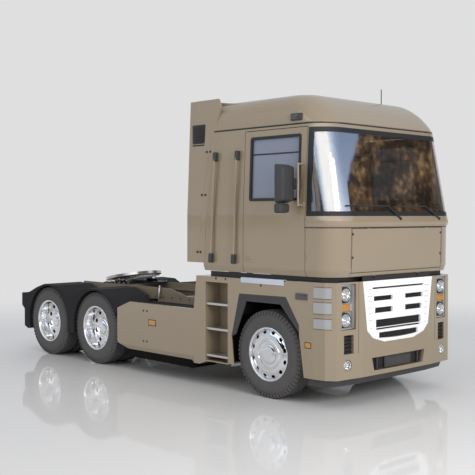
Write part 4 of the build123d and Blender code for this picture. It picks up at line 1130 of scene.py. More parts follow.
@dataclass
class RoofSkin:
    """The raised roof, smoothed between its levels.

    Attributes:
        levels: Height, front face, rear face, half width, front and rear radius of each level.
        rows: Steps between two levels.
        around: Steps round the outline.
    """

    levels: tuple[tuple[float, float, float, float, float, float], ...] = (
        (3.384, 0.893, -1.200, 1.202, 0.290, 0.220), (3.450, 0.846, -1.200, 1.199, 0.290, 0.218),
        (3.520, 0.785, -1.198, 1.190, 0.285, 0.215), (3.585, 0.722, -1.194, 1.174, 0.280, 0.210),
        (3.640, 0.655, -1.190, 1.148, 0.270, 0.205), (3.690, 0.585, -1.186, 1.108, 0.258, 0.190),
        (3.728, 0.520, -1.180, 1.060, 0.240, 0.170), (3.754, 0.440, -1.170, 0.985, 0.215, 0.150),
        (3.767, 0.330, -1.150, 0.870, 0.180, 0.120), (3.770, 0.060, -1.050, 0.600, 0.120, 0.090),
        (3.770, -0.300, -0.700, 0.200, 0.050, 0.050))
    rows: int = 3
    around: int = 144

    def outline(self, share: float, level: tuple[float, ...]) -> Point:
        """A point round one level.

        Args:
            share: How far round, from 0 to 1, starting at the middle of the rear.
            level: Height, front face, rear face, half width, front and rear radius.

        Returns:
            The point, with X measured from the front axle.
        """
        z, front, rear, half, r1, r2 = level
        runs = [half - r2, r2 * math.pi / 2, front - r1 - rear - r2, r1 * math.pi / 2, half - r1]
        total = sum(runs)
        far = share * 2 * total
        sign = 1.0
        if far > total:
            far = 2 * total - far
            sign = -1.0
        if far <= runs[0]:
            return (rear, sign * far, z)
        far -= runs[0]
        if far <= runs[1]:
            turn = far / r2
            return (rear + r2 - r2 * math.cos(turn), sign * (half - r2 + r2 * math.sin(turn)), z)
        far -= runs[1]
        if far <= runs[2]:
            return (rear + r2 + far, sign * half, z)
        far -= runs[2]
        if far <= runs[3]:
            turn = far / r1
            return (front - r1 + r1 * math.sin(turn), sign * (half - r1 + r1 * math.cos(turn)), z)
        return (front, sign * (half - r1 - (far - runs[3])), z)

    def level_at(self, place: float) -> tuple[float, ...]:
        """Sizes between two levels, eased through them.

        Args:
            place: Index of the level, with its share of the way to the next.

        Returns:
            Height, front face, rear face, half width, front and rear radius.
        """
        last = len(self.levels) - 1
        i = min(int(place), last - 1)
        t = place - i
        p0, p1, p2, p3 = (self.levels[min(max(k, 0), last)] for k in (i - 1, i, i + 1, i + 2))
        return tuple(0.5 * (2 * b + (c - a) * t + (2 * a - 5 * b + 4 * c - d) * t * t
                            + (3 * b - a - 3 * c + d) * t ** 3) for a, b, c, d in zip(p0, p1, p2, p3))

    def build(self) -> None:
        """Makes the roof and its side markers."""
        mesh = bmesh.new()
        steps = (len(self.levels) - 1) * self.rows
        made = bmesh.ops.create_grid(mesh, x_segments=self.around, y_segments=steps, size=0.5)["verts"]
        for vert in made:
            level = self.level_at((vert.co.y + 0.5) * (len(self.levels) - 1))
            x, y, z = self.outline(vert.co.x + 0.5, level)
            vert.co = (x + FRONT_AXLE_X, y, z)
        bmesh.ops.remove_doubles(mesh, verts=mesh.verts, dist=1e-5)
        rim = [e for e in mesh.edges if e.is_boundary and e.verts[0].co.z > 3.76]
        bmesh.ops.holes_fill(mesh, edges=rim, sides=0)
        bmesh.ops.recalc_face_normals(mesh, faces=mesh.faces)
        top = max(mesh.faces, key=lambda face: face.calc_center_median().z)
        if top.normal.z < 0:
            bmesh.ops.reverse_faces(mesh, faces=mesh.faces)
        piece = publish("raised_roof", mesh, PAINT, "cab", ("cab_roof",), 50.0)
        wall = piece.modifiers.new("wall", "SOLIDIFY")
        wall.thickness = 0.03
        wall.offset = -1.0
        self._markers()

    @staticmethod
    def _markers() -> None:
        """Adds the dark marker lamp on each side of the roof."""
        for side in Side:
            y = side.value * 1.196
            publish_blocks(f"roof_marker_{side.word}", MOULDED, "cab",
                           ((0.385, y - 0.03, 3.415, 0.555, y + 0.03, 3.500, 0.008),))
            y = side.value * 1.222
            publish_blocks(f"roof_marker_lens_{side.word}", SMOKED, "cab",
                           ((0.400, y - 0.006, 3.432, 0.500, y + 0.006, 3.485, 0.003),))


@dataclass
class CabTrim:
    """Everything that is laid on the cab's skin.

    Attributes:
        screen_edge: Where the windscreen ends on a flank.
        screen_low: Foot of the windscreen.
        screen_high: Top of the windscreen.
        frame_width: Width of its dark border.
        waist: Height of the step in the front.
    """

    screen_edge: float = 0.678
    screen_low: float = 2.280
    screen_high: float = 3.310
    frame_width: float = 0.060
    waist: float = 2.130

    def build(self) -> None:
        """Lays all of the trim."""
        self._screen_border()
        self._cowl()
        self._seams()
        self._buffers()
        self._gap_seal()
        self._eye_covers()
        for side in Side:
            self._fairing(side)
            self._tail(side)
            self._window_frame(side)
            self._vent(side)
            self._screws(side)
            self._rail_ends(side)
            self._seal(side)
            self._door_furniture(side)

    def _screen_border(self) -> None:
        """Lays the windscreen's dark border."""
        mesh = bmesh.new()
        left = flank(self.screen_edge + 0.004, Side.LEFT)
        right = flank(self.screen_edge + 0.004, Side.RIGHT)
        add_band(mesh, right, left, self.screen_low - 0.012, self.screen_low + 0.045, 0.0035, 90, 2)
        add_band(mesh, right, left, self.screen_high - 0.045, self.screen_high + 0.014, 0.0035, 90, 2)
        for side in Side:
            add_band(mesh, flank(self.screen_edge - 0.012, side), flank(self.screen_edge + self.frame_width, side),
                     self.screen_low - 0.012, self.screen_high + 0.014, 0.003, 6, 24)
        publish("windscreen_border", mesh, GASKET_AND_SHADE, "cab", smooth=50.0)

    def _cowl(self) -> None:
        """Lays the stepped body-coloured cowl under the windscreen, with its thickness outward."""
        mesh = bmesh.new()
        low, high = self.waist + 0.014, self.screen_low - 0.012

        def place(u: float, v: float) -> Vector:
            """Point of the cowl at two shares of its way.

            Args:
                u: Share of its length.
                v: Share of its height.

            Returns:
                The point.
            """
            z = low + v * (high - low)
            first, last = (SKIN.reach(flank(0.660, side), z) for side in Side)
            swell = 0.0125 * min(1.0, 5.0 * v) * min(1.0, max(0.0, 1.0 - (v - 0.55) / 0.45)) + 0.0012
            return SKIN.point(first + u * (last - first), z, swell * min(1.0, 12.0 * u, 12.0 * (1.0 - u)))

        faces = faces_of(lay_sheet(mesh, 96, 10, place))
        bmesh.ops.reverse_faces(mesh, faces=faces)
        bmesh.ops.solidify(mesh, geom=faces, thickness=0.008)
        publish("screen_cowl", mesh, PAINT, "cab", smooth=50.0)

    def _seams(self) -> None:
        """Lays the dark seams of roof, waist and corners."""
        mesh = bmesh.new()
        add_band(mesh, flank(-1.00, Side.RIGHT), flank(-1.00, Side.LEFT), 3.366, 3.383, 0.0015, 150, 1)
        add_band(mesh, flank(0.640, Side.RIGHT), flank(0.640, Side.LEFT), self.waist - 0.003, self.waist + 0.007,
                 0.0015, 90, 1)
        for side in Side:
            y = side.value * 0.932
            add_band(mesh, Station(Axis.Y, y - 0.0025), Station(Axis.Y, y + 0.0025), 1.560, self.waist, 0.0008, 1, 12,
                     0.002)
        publish("cab_seams", mesh, GASKET_AND_SHADE, "cab")

    def _buffers(self) -> None:
        """Adds the four dark buffers beside the flap's ends."""
        mesh = bmesh.new()
        for y in (-0.905, 0.905):
            for z in (1.780, 2.055):
                front = SKIN.at(z)[0] + FRONT_AXLE_X
                add_tube(mesh, (front - 0.004, y, z), (front + 0.008, y, z), 0.017, 16, 0.012)
        publish("flap_buffers", mesh, MOULDED, "front_flap")

    def _window_frame(self, side: Side) -> None:
        """Lays the rubber round a door window, and its sliding pane's bar.

        Args:
            side: The door's side.
        """
        mesh = bmesh.new()
        x0, x1, z0, z1 = -0.300, 0.550, 2.460, 3.250
        w = 0.030
        add_band(mesh, flank(x0 - 0.006, side), flank(x0 + w, side), z0 + 0.03, z1 - 0.03, 0.005, 2, 16, 0.02)
        add_band(mesh, flank(x1 - w, side), flank(x1 + 0.006, side), z0 + 0.03, z1 - 0.03, 0.005, 2, 16, 0.02)
        for low, high in ((z0 - 0.006, z0 + w), (z1 - w, z1 + 0.006)):
            add_band(mesh, flank(x0 + 0.03, side), flank(x1 - 0.03, side), low, high, 0.005, 16, 2, 0.02)
        for x, z, start in ((x0 + 0.03, z0 + 0.03, 180), (x1 - 0.03, z0 + 0.03, 270),
                            (x1 - 0.03, z1 - 0.03, 0), (x0 + 0.03, z1 - 0.03, 90)):
            self._corner(mesh, side, x, z, start, 0.036)
        add_band(mesh, flank(x0 + 0.02, side), flank(x1 - 0.02, side), 3.028, 3.044, -0.012, 12, 1, 0.012)
        publish(f"window_rubber_{side.word}", mesh, GASKET_AND_SHADE, f"door_{side.word}", smooth=40.0)

    @staticmethod
    def _corner(mesh: bmesh.types.BMesh, side: Side, x: float, z: float, start: float, radius: float) -> None:
        """Lays a quarter disc at a window's corner.

        Args:
            mesh: Where it goes.
            side: The door's side.
            x: Centre, measured from the front axle.
            z: Centre's height.
            start: First bearing in degrees.
            radius: Its radius.
        """
        def place(u: float, v: float) -> Vector:
            """Point of the disc at two shares of its way.

            Args:
                u: Share of its length.
                v: Share of its height.

            Returns:
                The point.
            """
            turn = math.radians(start + 90 * u)
            reach = radius * (0.05 + 0.95 * v)
            here = z + reach * math.sin(turn)
            return SKIN.point(SKIN.reach(flank(x + reach * math.cos(turn), side), here), here, 0.005)

        lay_sheet(mesh, 6, 3, place, 0.02)

    def _vent(self, side: Side) -> None:
        """Adds the louvred vent on a deflector.

        Args:
            side: The truck's side.
        """
        mesh = bmesh.new()
        y = side.value * 1.196
        self._slab(mesh, -1.430, -1.180, y, side, 0.012, 3.185, 3.486, 0.004)
        for i in range(9):
            z = 3.212 + i * 0.031
            turn = Matrix.Translation((FRONT_AXLE_X - 1.305, y + side.value * 0.012, z)) @ Matrix.Rotation(
                math.radians(-28 * side.value), 4, "X")
            add_block(mesh, (-0.115, -0.006, -0.009), (0.115, 0.006, 0.009), turn, 0.002)
        publish(f"deflector_vent_{side.word}", mesh, GASKET_AND_SHADE, "cab", smooth=30.0)

    @staticmethod
    def _slab(mesh: bmesh.types.BMesh, x0: float, x1: float, y: float, side: Side, proud: float,
              z0: float, z1: float, edge: float) -> None:
        """Adds a flat block that stands on a flank.

        Args:
            mesh: Where it goes.
            x0: Rear end, measured from the front axle.
            x1: Front end.
            y: Place of the surface that it stands on.
            side: The truck's side.
            proud: How far it stands out.
            z0: Lower edge.
            z1: Upper edge.
            edge: Width of the bevel.
        """
        add_blocks(mesh, ((x0, y - side.value * 0.01, z0, x1, y + side.value * proud, z1, edge),))

    @staticmethod
    def _screws(side: Side) -> None:
        """Adds the dark screw heads along a flank.

        Args:
            side: The truck's side.
        """
        mesh = bmesh.new()
        for x, z in ((-1.131, 3.117), (-1.062, 3.117), (-1.205, 2.548), (-1.134, 2.548), (-1.279, 1.789),
                     (-1.216, 1.789)):
            y = side.value * SKIN.at(z)[1]
            add_tube(mesh, (FRONT_AXLE_X + x, y - side.value * 0.006, z),
                     (FRONT_AXLE_X + x, y + side.value * 0.010, z), 0.017, 16, 0.014)
        publish(f"flank_screws_{side.word}", mesh, GASKET_AND_SHADE, "cab")

    @staticmethod
    def _rail_ends(side: Side) -> None:
        """Adds the dark feet of the grab rails.

        Args:
            side: The truck's side.
        """
        mesh = bmesh.new()
        for top, foot in ((-0.930, -0.980), (-0.515, -0.550)):
            for x, z, lean in ((foot, 1.740, -1), (top, 3.020, 1)):
                y = side.value * (SKIN.at(z)[1] + 0.030)
                turn = Matrix.Translation((FRONT_AXLE_X + x, y, z + 0.02 * lean)) @ Matrix.Rotation(
                    math.radians(2.2), 4, "Y")
                add_block(mesh, (-0.026, -0.032, -0.062), (0.026, 0.026, 0.062), turn, 0.014)
        publish(f"rail_ends_{side.word}", mesh, MOULDED, "cab", smooth=50.0)

    @staticmethod
    def _seal(side: Side) -> None:
        """Closes the gap between a deflector and the cab.

        Args:
            side: The truck's side.
        """
        mesh = bmesh.new()
        edge = ((1.650, -1.242), (2.083, -1.230), (2.747, -1.147), (3.205, -1.066), (3.366, -0.990))
        low, high = edge[0][0], edge[-1][0]

        def place(u: float, v: float) -> Vector:
            """Point of the strip at two shares of its way.

            Args:
                u: Share of its length.
                v: Share of its height.

            Returns:
                The point.
            """
            z = low + v * (high - low)
            half = SKIN.at(z)[1] + (0.0015 if u > 0.3 else -0.020)
            reach = u * 0.134 - (0.025 if u > 0.1 else 0.120)
            return Vector((FRONT_AXLE_X + read_table(edge, z) + reach, side.value * half, z))

        lay_sheet(mesh, 3, 40, place, 0.006)
        publish(f"deflector_seal_{side.word}", mesh, PAINT, "cab")

    @staticmethod
    def _gap_seal() -> None:
        """Fills the gap under the cab with a dark strip carried by the chassis, painted shade of that gap."""
        mesh = bmesh.new()
        for side in Side:
            sign = side.value
            add_blocks(mesh, ((-1.100, sign * 1.160, 1.470, 0.860, sign * 1.172, 1.541, 0.0),))
            turn = (Matrix.Translation((FRONT_AXLE_X + 0.925, sign * 1.112, 1.506))
                    @ Matrix.Rotation(sign * math.radians(-42), 4, "Z"))
            add_block(mesh, (-0.088, -0.006, -0.036), (0.088, 0.006, 0.035), turn)
        add_blocks(mesh, ((0.980, -1.060, 1.470, 0.992, 1.060, 1.541, 0.0),
                          (1.066, -0.700, 1.486, 1.074, 0.700, 1.546, 0.0)))
        # Dark strips standing in for the shade in the gap under the cab.
        publish("cab_gap_shade", mesh, GASKET_AND_SHADE, "chassis")

    @staticmethod
    def _eye_covers() -> None:
        """Adds dark blocks over the eyes that the cab tilts on, painted shade of the gap round them."""
        mesh = bmesh.new()
        x = FRONT_AXLE_X + 1.065
        for y in (-0.450, 0.450):
            add_tube(mesh, (x, y - 0.034, 1.526), (x, y + 0.034, 1.526), 0.020, 24)
            add_blocks(mesh, ((1.020, y - 0.033, 1.516, 1.070, y + 0.033, 1.547, 0.0),))
        # Dark blocks standing in for the shade round the tilt eyes.
        publish("tilt_eye_shade", mesh, GASKET_AND_SHADE, "cab", smooth=40.0)

    @staticmethod
    def _fairing(side: Side) -> None:
        """Adds the low fairing that carries the deflector's top edge onto the roof.

        Args:
            side: The truck's side.
        """
        mesh = bmesh.new()
        add_plate(mesh, ((-1.150, 3.500), (-1.150, 3.792), (-1.040, 3.774), (-0.860, 3.750), (-0.683, 3.733),
                         (-0.450, 3.722), (-0.450, 3.600), (-0.800, 3.500)), side.value * 1.045, side.value * 0.022)
        soften(mesh, list(mesh.edges), 0.008)
        publish(f"roof_fairing_{side.word}", mesh, PAINT, "cab", smooth=40.0)

    @staticmethod
    def _tail(side: Side) -> None:
        """Adds the thin panel that carries a deflector back to its rear edge.

        Args:
            side: The truck's side.
        """
        mesh = bmesh.new()
        rear = -1.4935
        skin = ((2.300, 1.246), (2.500, 1.238), (3.380, 1.2015), (3.806, 1.183))
        low, high = skin[0][0], skin[-1][0]

        def place(u: float, v: float) -> Vector:
            """Point of the panel at two shares of its way.

            Args:
                u: Share of its length.
                v: Share of its height.

            Returns:
                The point.
            """
            z = low + v * (high - low)
            front = -1.470 + 0.140 * v
            return Vector((FRONT_AXLE_X + rear + u * (front - rear), side.value * (read_table(skin, z) - 0.001), z))

        lay_sheet(mesh, 2, 24, place, 0.027)
        publish(f"deflector_tail_{side.word}", mesh, PAINT, "cab", smooth=30.0)

    def _door_furniture(self, side: Side) -> None:
        """Adds a door's recessed handle.

        Args:
            side: The door's side.
        """
        mesh = bmesh.new()
        y = side.value * SKIN.at(1.720)[1]
        self._slab(mesh, -0.360, -0.190, y, side, 0.006, 1.690, 1.755, 0.006)
        self._slab(mesh, -0.345, -0.205, y, side, 0.016, 1.725, 1.745, 0.005)
        publish(f"door_handle_{side.word}", mesh, PAINT, f"door_{side.word}", smooth=40.0)


@dataclass
class Mirror:
    """A pair of mirror heads on their tube.

    Attributes:
        side: The truck's side.
    """

    side: Side

    def build(self) -> None:
        """Makes housings, glasses and tube."""
        sign = self.side.value
        body = f"door_{self.side.word}"
        mesh = bmesh.new()
        self._head(mesh, 0.402, 0.534, 1.284, 1.533, 2.418, 2.892, 0.028)
        self._head(mesh, 0.402, 0.510, 1.345, 1.538, 2.302, 2.424, 0.026)
        self._head(mesh, 0.500, 0.606, 1.262, 1.345, 2.585, 2.725, 0.020)
        publish(f"mirror_heads_{self.side.word}", mesh, MOULDED, body, (f"mirrors_{self.side.word}",), 50.0)
        mesh = bmesh.new()
        for low, high in ((2.450, 2.862), (2.325, 2.402)):
            inner = sign * (1.312 if low > 2.4 else 1.370)
            add_blocks(mesh, ((0.401, inner, low, 0.408, sign * 1.508, high, 0.002),))
        publish(f"mirror_glass_{self.side.word}", mesh, MIRROR, body)
        mesh = bmesh.new()
        x = FRONT_AXLE_X
        tube = [(x + 0.598, sign * 1.318, 2.385), (x + 0.598, sign * 1.318, 2.900)]
        add_tube(mesh, tube[0], tube[1], 0.014)
        for z, root in ((2.884, 1.212), (2.395, 1.238)):
            add_tube(mesh, (x + 0.597, sign * 1.318, z), (x + 0.608, sign * root, z + 0.012), 0.012)
            add_tube(mesh, (x + 0.608, sign * (root + 0.024), z + 0.011), (x + 0.608, sign * (root - 0.004), z + 0.012),
                     0.030, 20, 0.034)
        publish(f"mirror_tube_{self.side.word}", mesh, PAINT, body, smooth=50.0)

    def _head(self, mesh: bmesh.types.BMesh, x0: float, x1: float, y0: float, y1: float, z0: float, z1: float,
              edge: float) -> None:
        """Adds one rounded housing.

        Args:
            mesh: Where it goes.
            x0: Rear face.
            x1: Front face.
            y0: Inner side.
            y1: Outer side.
            z0: Foot.
            z1: Top.
            edge: Radius of its edges.
        """
        ends = sorted((self.side.value * y0, self.side.value * y1))
        place = Matrix.Translation((FRONT_AXLE_X + (x0 + x1) / 2, (ends[0] + ends[1]) / 2, (z0 + z1) / 2))
        size = Matrix.Diagonal((x1 - x0, ends[1] - ends[0], z1 - z0, 1.0))
        verts = bmesh.ops.create_cube(mesh, size=1.0, matrix=place @ size)["verts"]
        for vert in verts:
            if vert.co.x > FRONT_AXLE_X + (x0 + x1) / 2:
                middle = Vector((vert.co.x, (ends[0] + ends[1]) / 2, (z0 + z1) / 2))
                vert.co += (middle - vert.co) * 0.16
        soften(mesh, list({e for v in verts for e in v.link_edges}), edge, 4)


# ---------------------------------------------------------------- front module
@dataclass
class ModuleSkin:
    """The front module in plan, from the side fold to the middle.

    Attributes:
        plan: X from the front axle, and distance from the middle plane.
    """

    plan: tuple[tuple[float, float], ...] = (
        (0.563, 1.250), (0.775, 1.250), (0.949, 1.232), (1.056, 1.150), (1.098, 0.735), (1.107, 0.196), (1.107, 0.0))

    def point(self, run: float, side: Side, z: float, lift: float) -> Vector:
        """A point along the module's face.

        Args:
            run: Distance along the plan from the side fold, at the second point.
            side: The truck's side.
            z: The height.
            lift: How far it stands off the face.

        Returns:
            The point in the row frame.
        """
        left = run
        for (x0, y0), (x1, y1) in zip(self.plan[1:], self.plan[2:]):
            length = math.hypot(x1 - x0, y1 - y0)
            if left <= length or (x1, y1) == self.plan[-1]:
                t = left / length
                nx, ny = (y0 - y1) / length, (x1 - x0) / length
                return Vector((FRONT_AXLE_X + x0 + t * (x1 - x0) + nx * lift,
                               side.value * (y0 + t * (y1 - y0) + ny * lift), z))
            left -= length
        return Vector()

    def run_at(self, y: float) -> float:
        """Distance along the plan to a distance from the middle plane.

        Args:
            y: Distance from the middle plane.

        Returns:
            The run.
        """
        run = 0.0
        for (x0, y0), (x1, y1) in zip(self.plan[1:], self.plan[2:]):
            length = math.hypot(x1 - x0, y1 - y0)
            if y0 >= y >= y1 and y0 > y1:
                return run + length * (y0 - y) / (y0 - y1)
            run += length
        return run


MODULE = ModuleSkin()


def add_panel(mesh: bmesh.types.BMesh, side: Side, runs: tuple[float, float], low: float, high: float,
              lift: float, thick: float, edge: float = 0.0, columns: int = 6) -> None:
    """Lays a panel on the front module's face.

    Args:
        mesh: Where it goes.
        side: The truck's side.
        runs: Its ends along the face.
        low: Lower edge.
        high: Upper edge.
        lift: How far its face stands off.
        thick: Its thickness, laid inward.
        edge: Width of its rounded border.
        columns: Steps along it.
    """
    def place(u: float, v: float) -> Vector:
        """Point of the panel at two shares of its way."""
        return MODULE.point(runs[0] + u * (runs[1] - runs[0]), side, low + v * (high - low), lift)

    made = lay_sheet(mesh, columns, 2, place)
    faces = faces_of(made)
    if edge:
        bmesh.ops.inset_region(mesh, faces=faces, thickness=edge, depth=edge * 0.8, use_even_offset=True)
        faces = [face for face in {*faces_of(made), *faces} if face.is_valid]
    bmesh.ops.solidify(mesh, geom=faces, thickness=thick)


def spin_lamp(mesh: bmesh.types.BMesh, points: list[tuple[float, float]], centre: Point, steps: int = 40) -> None:
    """Turns a profile of (distance forward, radius) about an axis along X.

    Args:
        mesh: Where it goes.
        points: Distance forward of the centre, and radius.
        centre: The axis, and where distance is measured from.
        steps: Number of segments round.
    """
    corners = [(centre[0] + out, centre[1], centre[2] + radius) for out, radius in points]
    spin_section(mesh, corners, centre, Axis.X, steps)


@dataclass
class FrontFace:
    """Lamps, vents, shield and air intake of the front module."""

    lamp_y: float = 0.977
    pocket_y: float = 0.952
    pocket_half: float = 0.120
    upper_z: float = 1.341
    lower_z: float = 1.037
    amber_z: tuple[float, float] = (1.146, 1.230)
    fog_y: float = 0.968
    fog_z: float = 0.512
    vents: tuple[tuple[float, float], ...] = ((0.948, 1.062), (1.126, 1.254), (1.305, 1.430))
    slots: tuple[tuple[float, float, float, float], ...] = (
        (-0.530, 0.530, 1.387, 1.408), (-0.505, -0.130, 1.242, 1.299), (0.130, 0.505, 1.242, 1.299),
        (-0.482, -0.130, 1.094, 1.160), (0.130, 0.482, 1.094, 1.160), (-0.462, 0.462, 0.918, 1.012),
        (-0.455, 0.455, 0.888, 0.909), (-0.400, 0.400, 0.790, 0.853))

    def build(self) -> None:
        """Makes both sides, then the middle."""
        for side in Side:
            self._head_lamp(side)
            self._fog_lamp(side)
            self._vents(side)
            self._side_lamps(side)
            self._slot(side)
        self._shield()
        self._mesh()
        self._bumper()

    def _head_lamp(self, side: Side) -> None:
        """Makes one lamp cluster.

        Args:
            side: The truck's side.
        """
        sign = side.value
        y = sign * self.pocket_y
        half = self.pocket_half
        frame_blocks = [(0.990, y - half + 0.003, 0.934, 1.022, y + half - 0.003, 1.466, 0.0)]
        frame_blocks += [(1.000, edge - 0.010, 0.934, 1.052, edge + 0.010, 1.466, 0.003)
                         for edge in (y - half + 0.010, y + half - 0.010)]
        frame_blocks += [(1.000, y - half + 0.006, z - 0.009, 1.052, y + half - 0.006, z + 0.009, 0.003)
                         for z in (0.942, 1.458)]
        publish_blocks(f"lamp_backing_{side.word}", HOUSING, "chassis", frame_blocks, 45.0)
        bowl = [(0.030, 0.083), (0.044, 0.080), (0.048, 0.076), (0.046, 0.072), (0.034, 0.064), (0.026, 0.046),
                (0.020, 0.024), (0.020, 0.0)]
        bulb = [(0.020, 0.026), (0.030, 0.024), (0.036, 0.016), (0.038, 0.0)]
        cover = [(0.042, 0.075), (0.048, 0.070), (0.053, 0.046), (0.055, 0.0)]
        bezel = [(0.010, 0.098), (0.040, 0.096), (0.045, 0.092), (0.045, 0.086), (0.036, 0.082), (0.010, 0.082)]
        stands_for = ("lamp_housings", "lamp_lenses") if side is Side.RIGHT else ()
        for name, finish, replaced, smooth, profiles in (
                ("lamp_bowls", CHROME, stands_for, 45.0, ((bowl, 40), (bulb, 24))),
                ("lamp_covers", LENS, (), 60.0, ((cover, 40),)),
                ("lamp_bezels", MOULDED, (), 45.0, ((bezel, 40),))):
            mesh = bmesh.new()
            for z in (self.upper_z, self.lower_z):
                for profile, steps in profiles:
                    spin_lamp(mesh, profile, (FRONT_AXLE_X + 1.006, sign * self.lamp_y, z), steps)
            publish(f"{name}_{side.word}", mesh, finish, "chassis", replaced, smooth)
        low, high = self.amber_z
        y = sign * (self.lamp_y + 0.004)
        ribs = [(1.050, y - 0.060 + i * 0.020 - 0.004, low + 0.014, 1.055, y - 0.060 + i * 0.020 + 0.004, high - 0.014,
                 0.001) for i in range(7)]
        publish_blocks(f"turn_lamp_{side.word}", AMBER, "chassis",
                       [(1.000, y - 0.080, low, 1.052, y + 0.080, high, 0.012), *ribs], 45.0)
        publish_blocks(f"lamp_insert_{side.word}", SATIN_AND_SHADE, "chassis",
                       ((1.004, sign * (self.pocket_y - half + 0.012), low - 0.004, 1.044,
                         sign * (self.lamp_y - 0.086), high + 0.004, 0.005),), 45.0)

    def _fog_lamp(self, side: Side) -> None:
        """Makes one fog lamp.

        Args:
            side: The truck's side.
        """
        centre = (FRONT_AXLE_X + 1.030, side.value * self.fog_y, self.fog_z)
        mesh = bmesh.new()
        spin_lamp(mesh, [(-0.030, 0.065), (0.034, 0.065), (0.040, 0.060), (0.036, 0.053), (0.010, 0.040),
                         (0.0, 0.018), (0.0, 0.0)], centre, 32)
        publish(f"fog_bowl_{side.word}", mesh, CHROME, "chassis", smooth=45.0)
        mesh = bmesh.new()
        spin_lamp(mesh, [(0.034, 0.055), (0.040, 0.048), (0.044, 0.0)], centre, 32)
        publish(f"fog_cover_{side.word}", mesh, LENS, "chassis", smooth=60.0)

    def _vents(self, side: Side) -> None:
        """Lays the three pale panels on the corner.

        Args:
            side: The truck's side.
        """
        mesh = bmesh.new()
        for low, high in self.vents:
            add_panel(mesh, side, (0.012, 0.250), low, high, 0.001, 0.01, 0.008, 10)
        publish(f"corner_panels_{side.word}", mesh, SATIN_AND_SHADE, "chassis", smooth=30.0)
        mesh = bmesh.new()
        for low, high in self.vents:
            for edge in (low - 0.008, high + 0.004):
                add_panel(mesh, side, (0.008, 0.254), edge, edge + 0.004, 0.0012, 0.004, 0.0, 10)
        publish(f"corner_shadow_{side.word}", mesh, GASKET_AND_SHADE, "chassis")

    @staticmethod
    def _side_lamps(side: Side) -> None:
        """Makes the lamps along the flank.

        Args:
            side: The truck's side.
        """
        sign = side.value
        publish_blocks(f"flank_marker_{side.word}", SMOKED, "chassis",
                       ((0.500, sign * 1.244, 1.272, 0.690, sign * 1.264, 1.350, 0.009),), 50.0)
        publish_blocks(f"flank_amber_{side.word}", AMBER, "chassis",
                       ((0.655, sign * 1.246, 0.709, 0.740, sign * 1.256, 0.766, 0.004),
                        (-2.336, sign * 1.246, 0.716, -2.186, sign * 1.256, 0.787, 0.004)), 50.0)
        publish_blocks(f"flank_amber_seat_{side.word}", GASKET_AND_SHADE, "chassis",
                       ((0.645, sign * 1.246, 0.700, 0.750, sign * 1.252, 0.775, 0.002),
                        (-2.350, sign * 1.246, 0.706, -2.172, sign * 1.252, 0.797, 0.002)))

    def _slot(self, side: Side) -> None:
        """Fills the dark slot under the lamps with bars.

        Args:
            side: The truck's side.
        """
        mesh = bmesh.new()
        y = side.value * self.pocket_y
        for i in range(5):
            z = 0.668 + i * 0.044
            turn = Matrix.Translation((FRONT_AXLE_X + 1.052, y, z)) @ Matrix.Rotation(math.radians(25), 4, "Y")
            add_block(mesh, (-0.012, -0.078, -0.004), (0.012, 0.078, 0.004), turn, 0.001)
        publish(f"cooling_slot_{side.word}", mesh, GASKET_AND_SHADE, "chassis")

    def _shield(self) -> None:
        """Makes the bright shield from a cut and bevelled plate, and the grey strips under its slots that paint their
        shadow lines.
        """
        mesh = bmesh.new()
        rows = (0.738, 0.741, 0.746, 0.753, 0.763, 0.775, 0.790, 0.820, 0.853, 0.870, 0.888, 0.909, 0.918, 1.012, 1.094,
                1.160, 1.242, 1.299, 1.387, 1.408, 1.440, 1.488)
        columns = (-0.70, -0.63, -0.53, -0.505, -0.482, -0.462, -0.455, -0.40, -0.30, -0.130, 0.0,
                   0.130, 0.30, 0.40, 0.455, 0.462, 0.482, 0.505, 0.53, 0.63, 0.70)
        made = bmesh.ops.create_grid(mesh, x_segments=len(columns) - 1, y_segments=len(rows) - 1, size=0.5)["verts"]
        for vert in made:
            i = round((vert.co.x + 0.5) * (len(columns) - 1))
            j = round((vert.co.y + 0.5) * (len(rows) - 1))
            vert.co = Vector((FRONT_AXLE_X + 1.098, columns[i], rows[j]))
        holes = []
        for face in mesh.faces:
            middle = face.calc_center_median()
            for y0, y1, z0, z1 in self.slots:
                if y0 < middle.y < y1 and z0 < middle.z < z1:
                    holes.append(face)
        bmesh.ops.delete(mesh, geom=holes, context="FACES")
        for vert in mesh.verts:
            z = vert.co.z
            if abs(vert.co.y) > 0.60:
                vert.co.y = math.copysign(self._edge(z) - (0.70 - abs(vert.co.y)) * 0.35, vert.co.y)
            elif abs(vert.co.y) > self._edge(z) - 0.045:
                vert.co.y = math.copysign(self._edge(z) - 0.045 - (0.60 - abs(vert.co.y)) * 0.02, vert.co.y)
            if z < 0.80:
                vert.co.z -= 0.030 * (1.0 - (vert.co.y / 0.55) ** 2) - 0.012
        bmesh.ops.recalc_face_normals(mesh, faces=mesh.faces)
        bmesh.ops.solidify(mesh, geom=mesh.faces, thickness=0.030)
        piece = publish("bright_shield", mesh, SHIELD, "chassis", ("grille_panel",), 30.0)
        bevel = piece.modifiers.new("edges", "BEVEL")
        bevel.width = 0.004
        bevel.segments = 2
        bevel.limit_method = "ANGLE"
        bevel.angle_limit = math.radians(40)
        # Grey strips under the shield's slots: painted shadow lines.
        publish_blocks("shield_shade_lines", SATIN_AND_SHADE, "chassis",
                       ((1.096, sign * 0.545, z - 0.003, 1.0995, sign * (self._edge(z) - 0.055), z + 0.003, 0.0)
                        for z in (1.384, 1.302, 1.239, 1.163, 1.091, 1.015, 0.914) for sign in (-1, 1)))

    @staticmethod
    def _edge(z: float) -> float:
        """Half width of the shield at a height.

        Args:
            z: The height.

        Returns:
            The half width.
        """
        if z >= 0.893:
            return 0.630 + (z - 0.893) * (0.716 - 0.630) / (1.500 - 0.893)
        return 0.300 + 0.330 * math.sqrt(max(0.0, 1.0 - ((0.893 - z) / 0.155) ** 2))

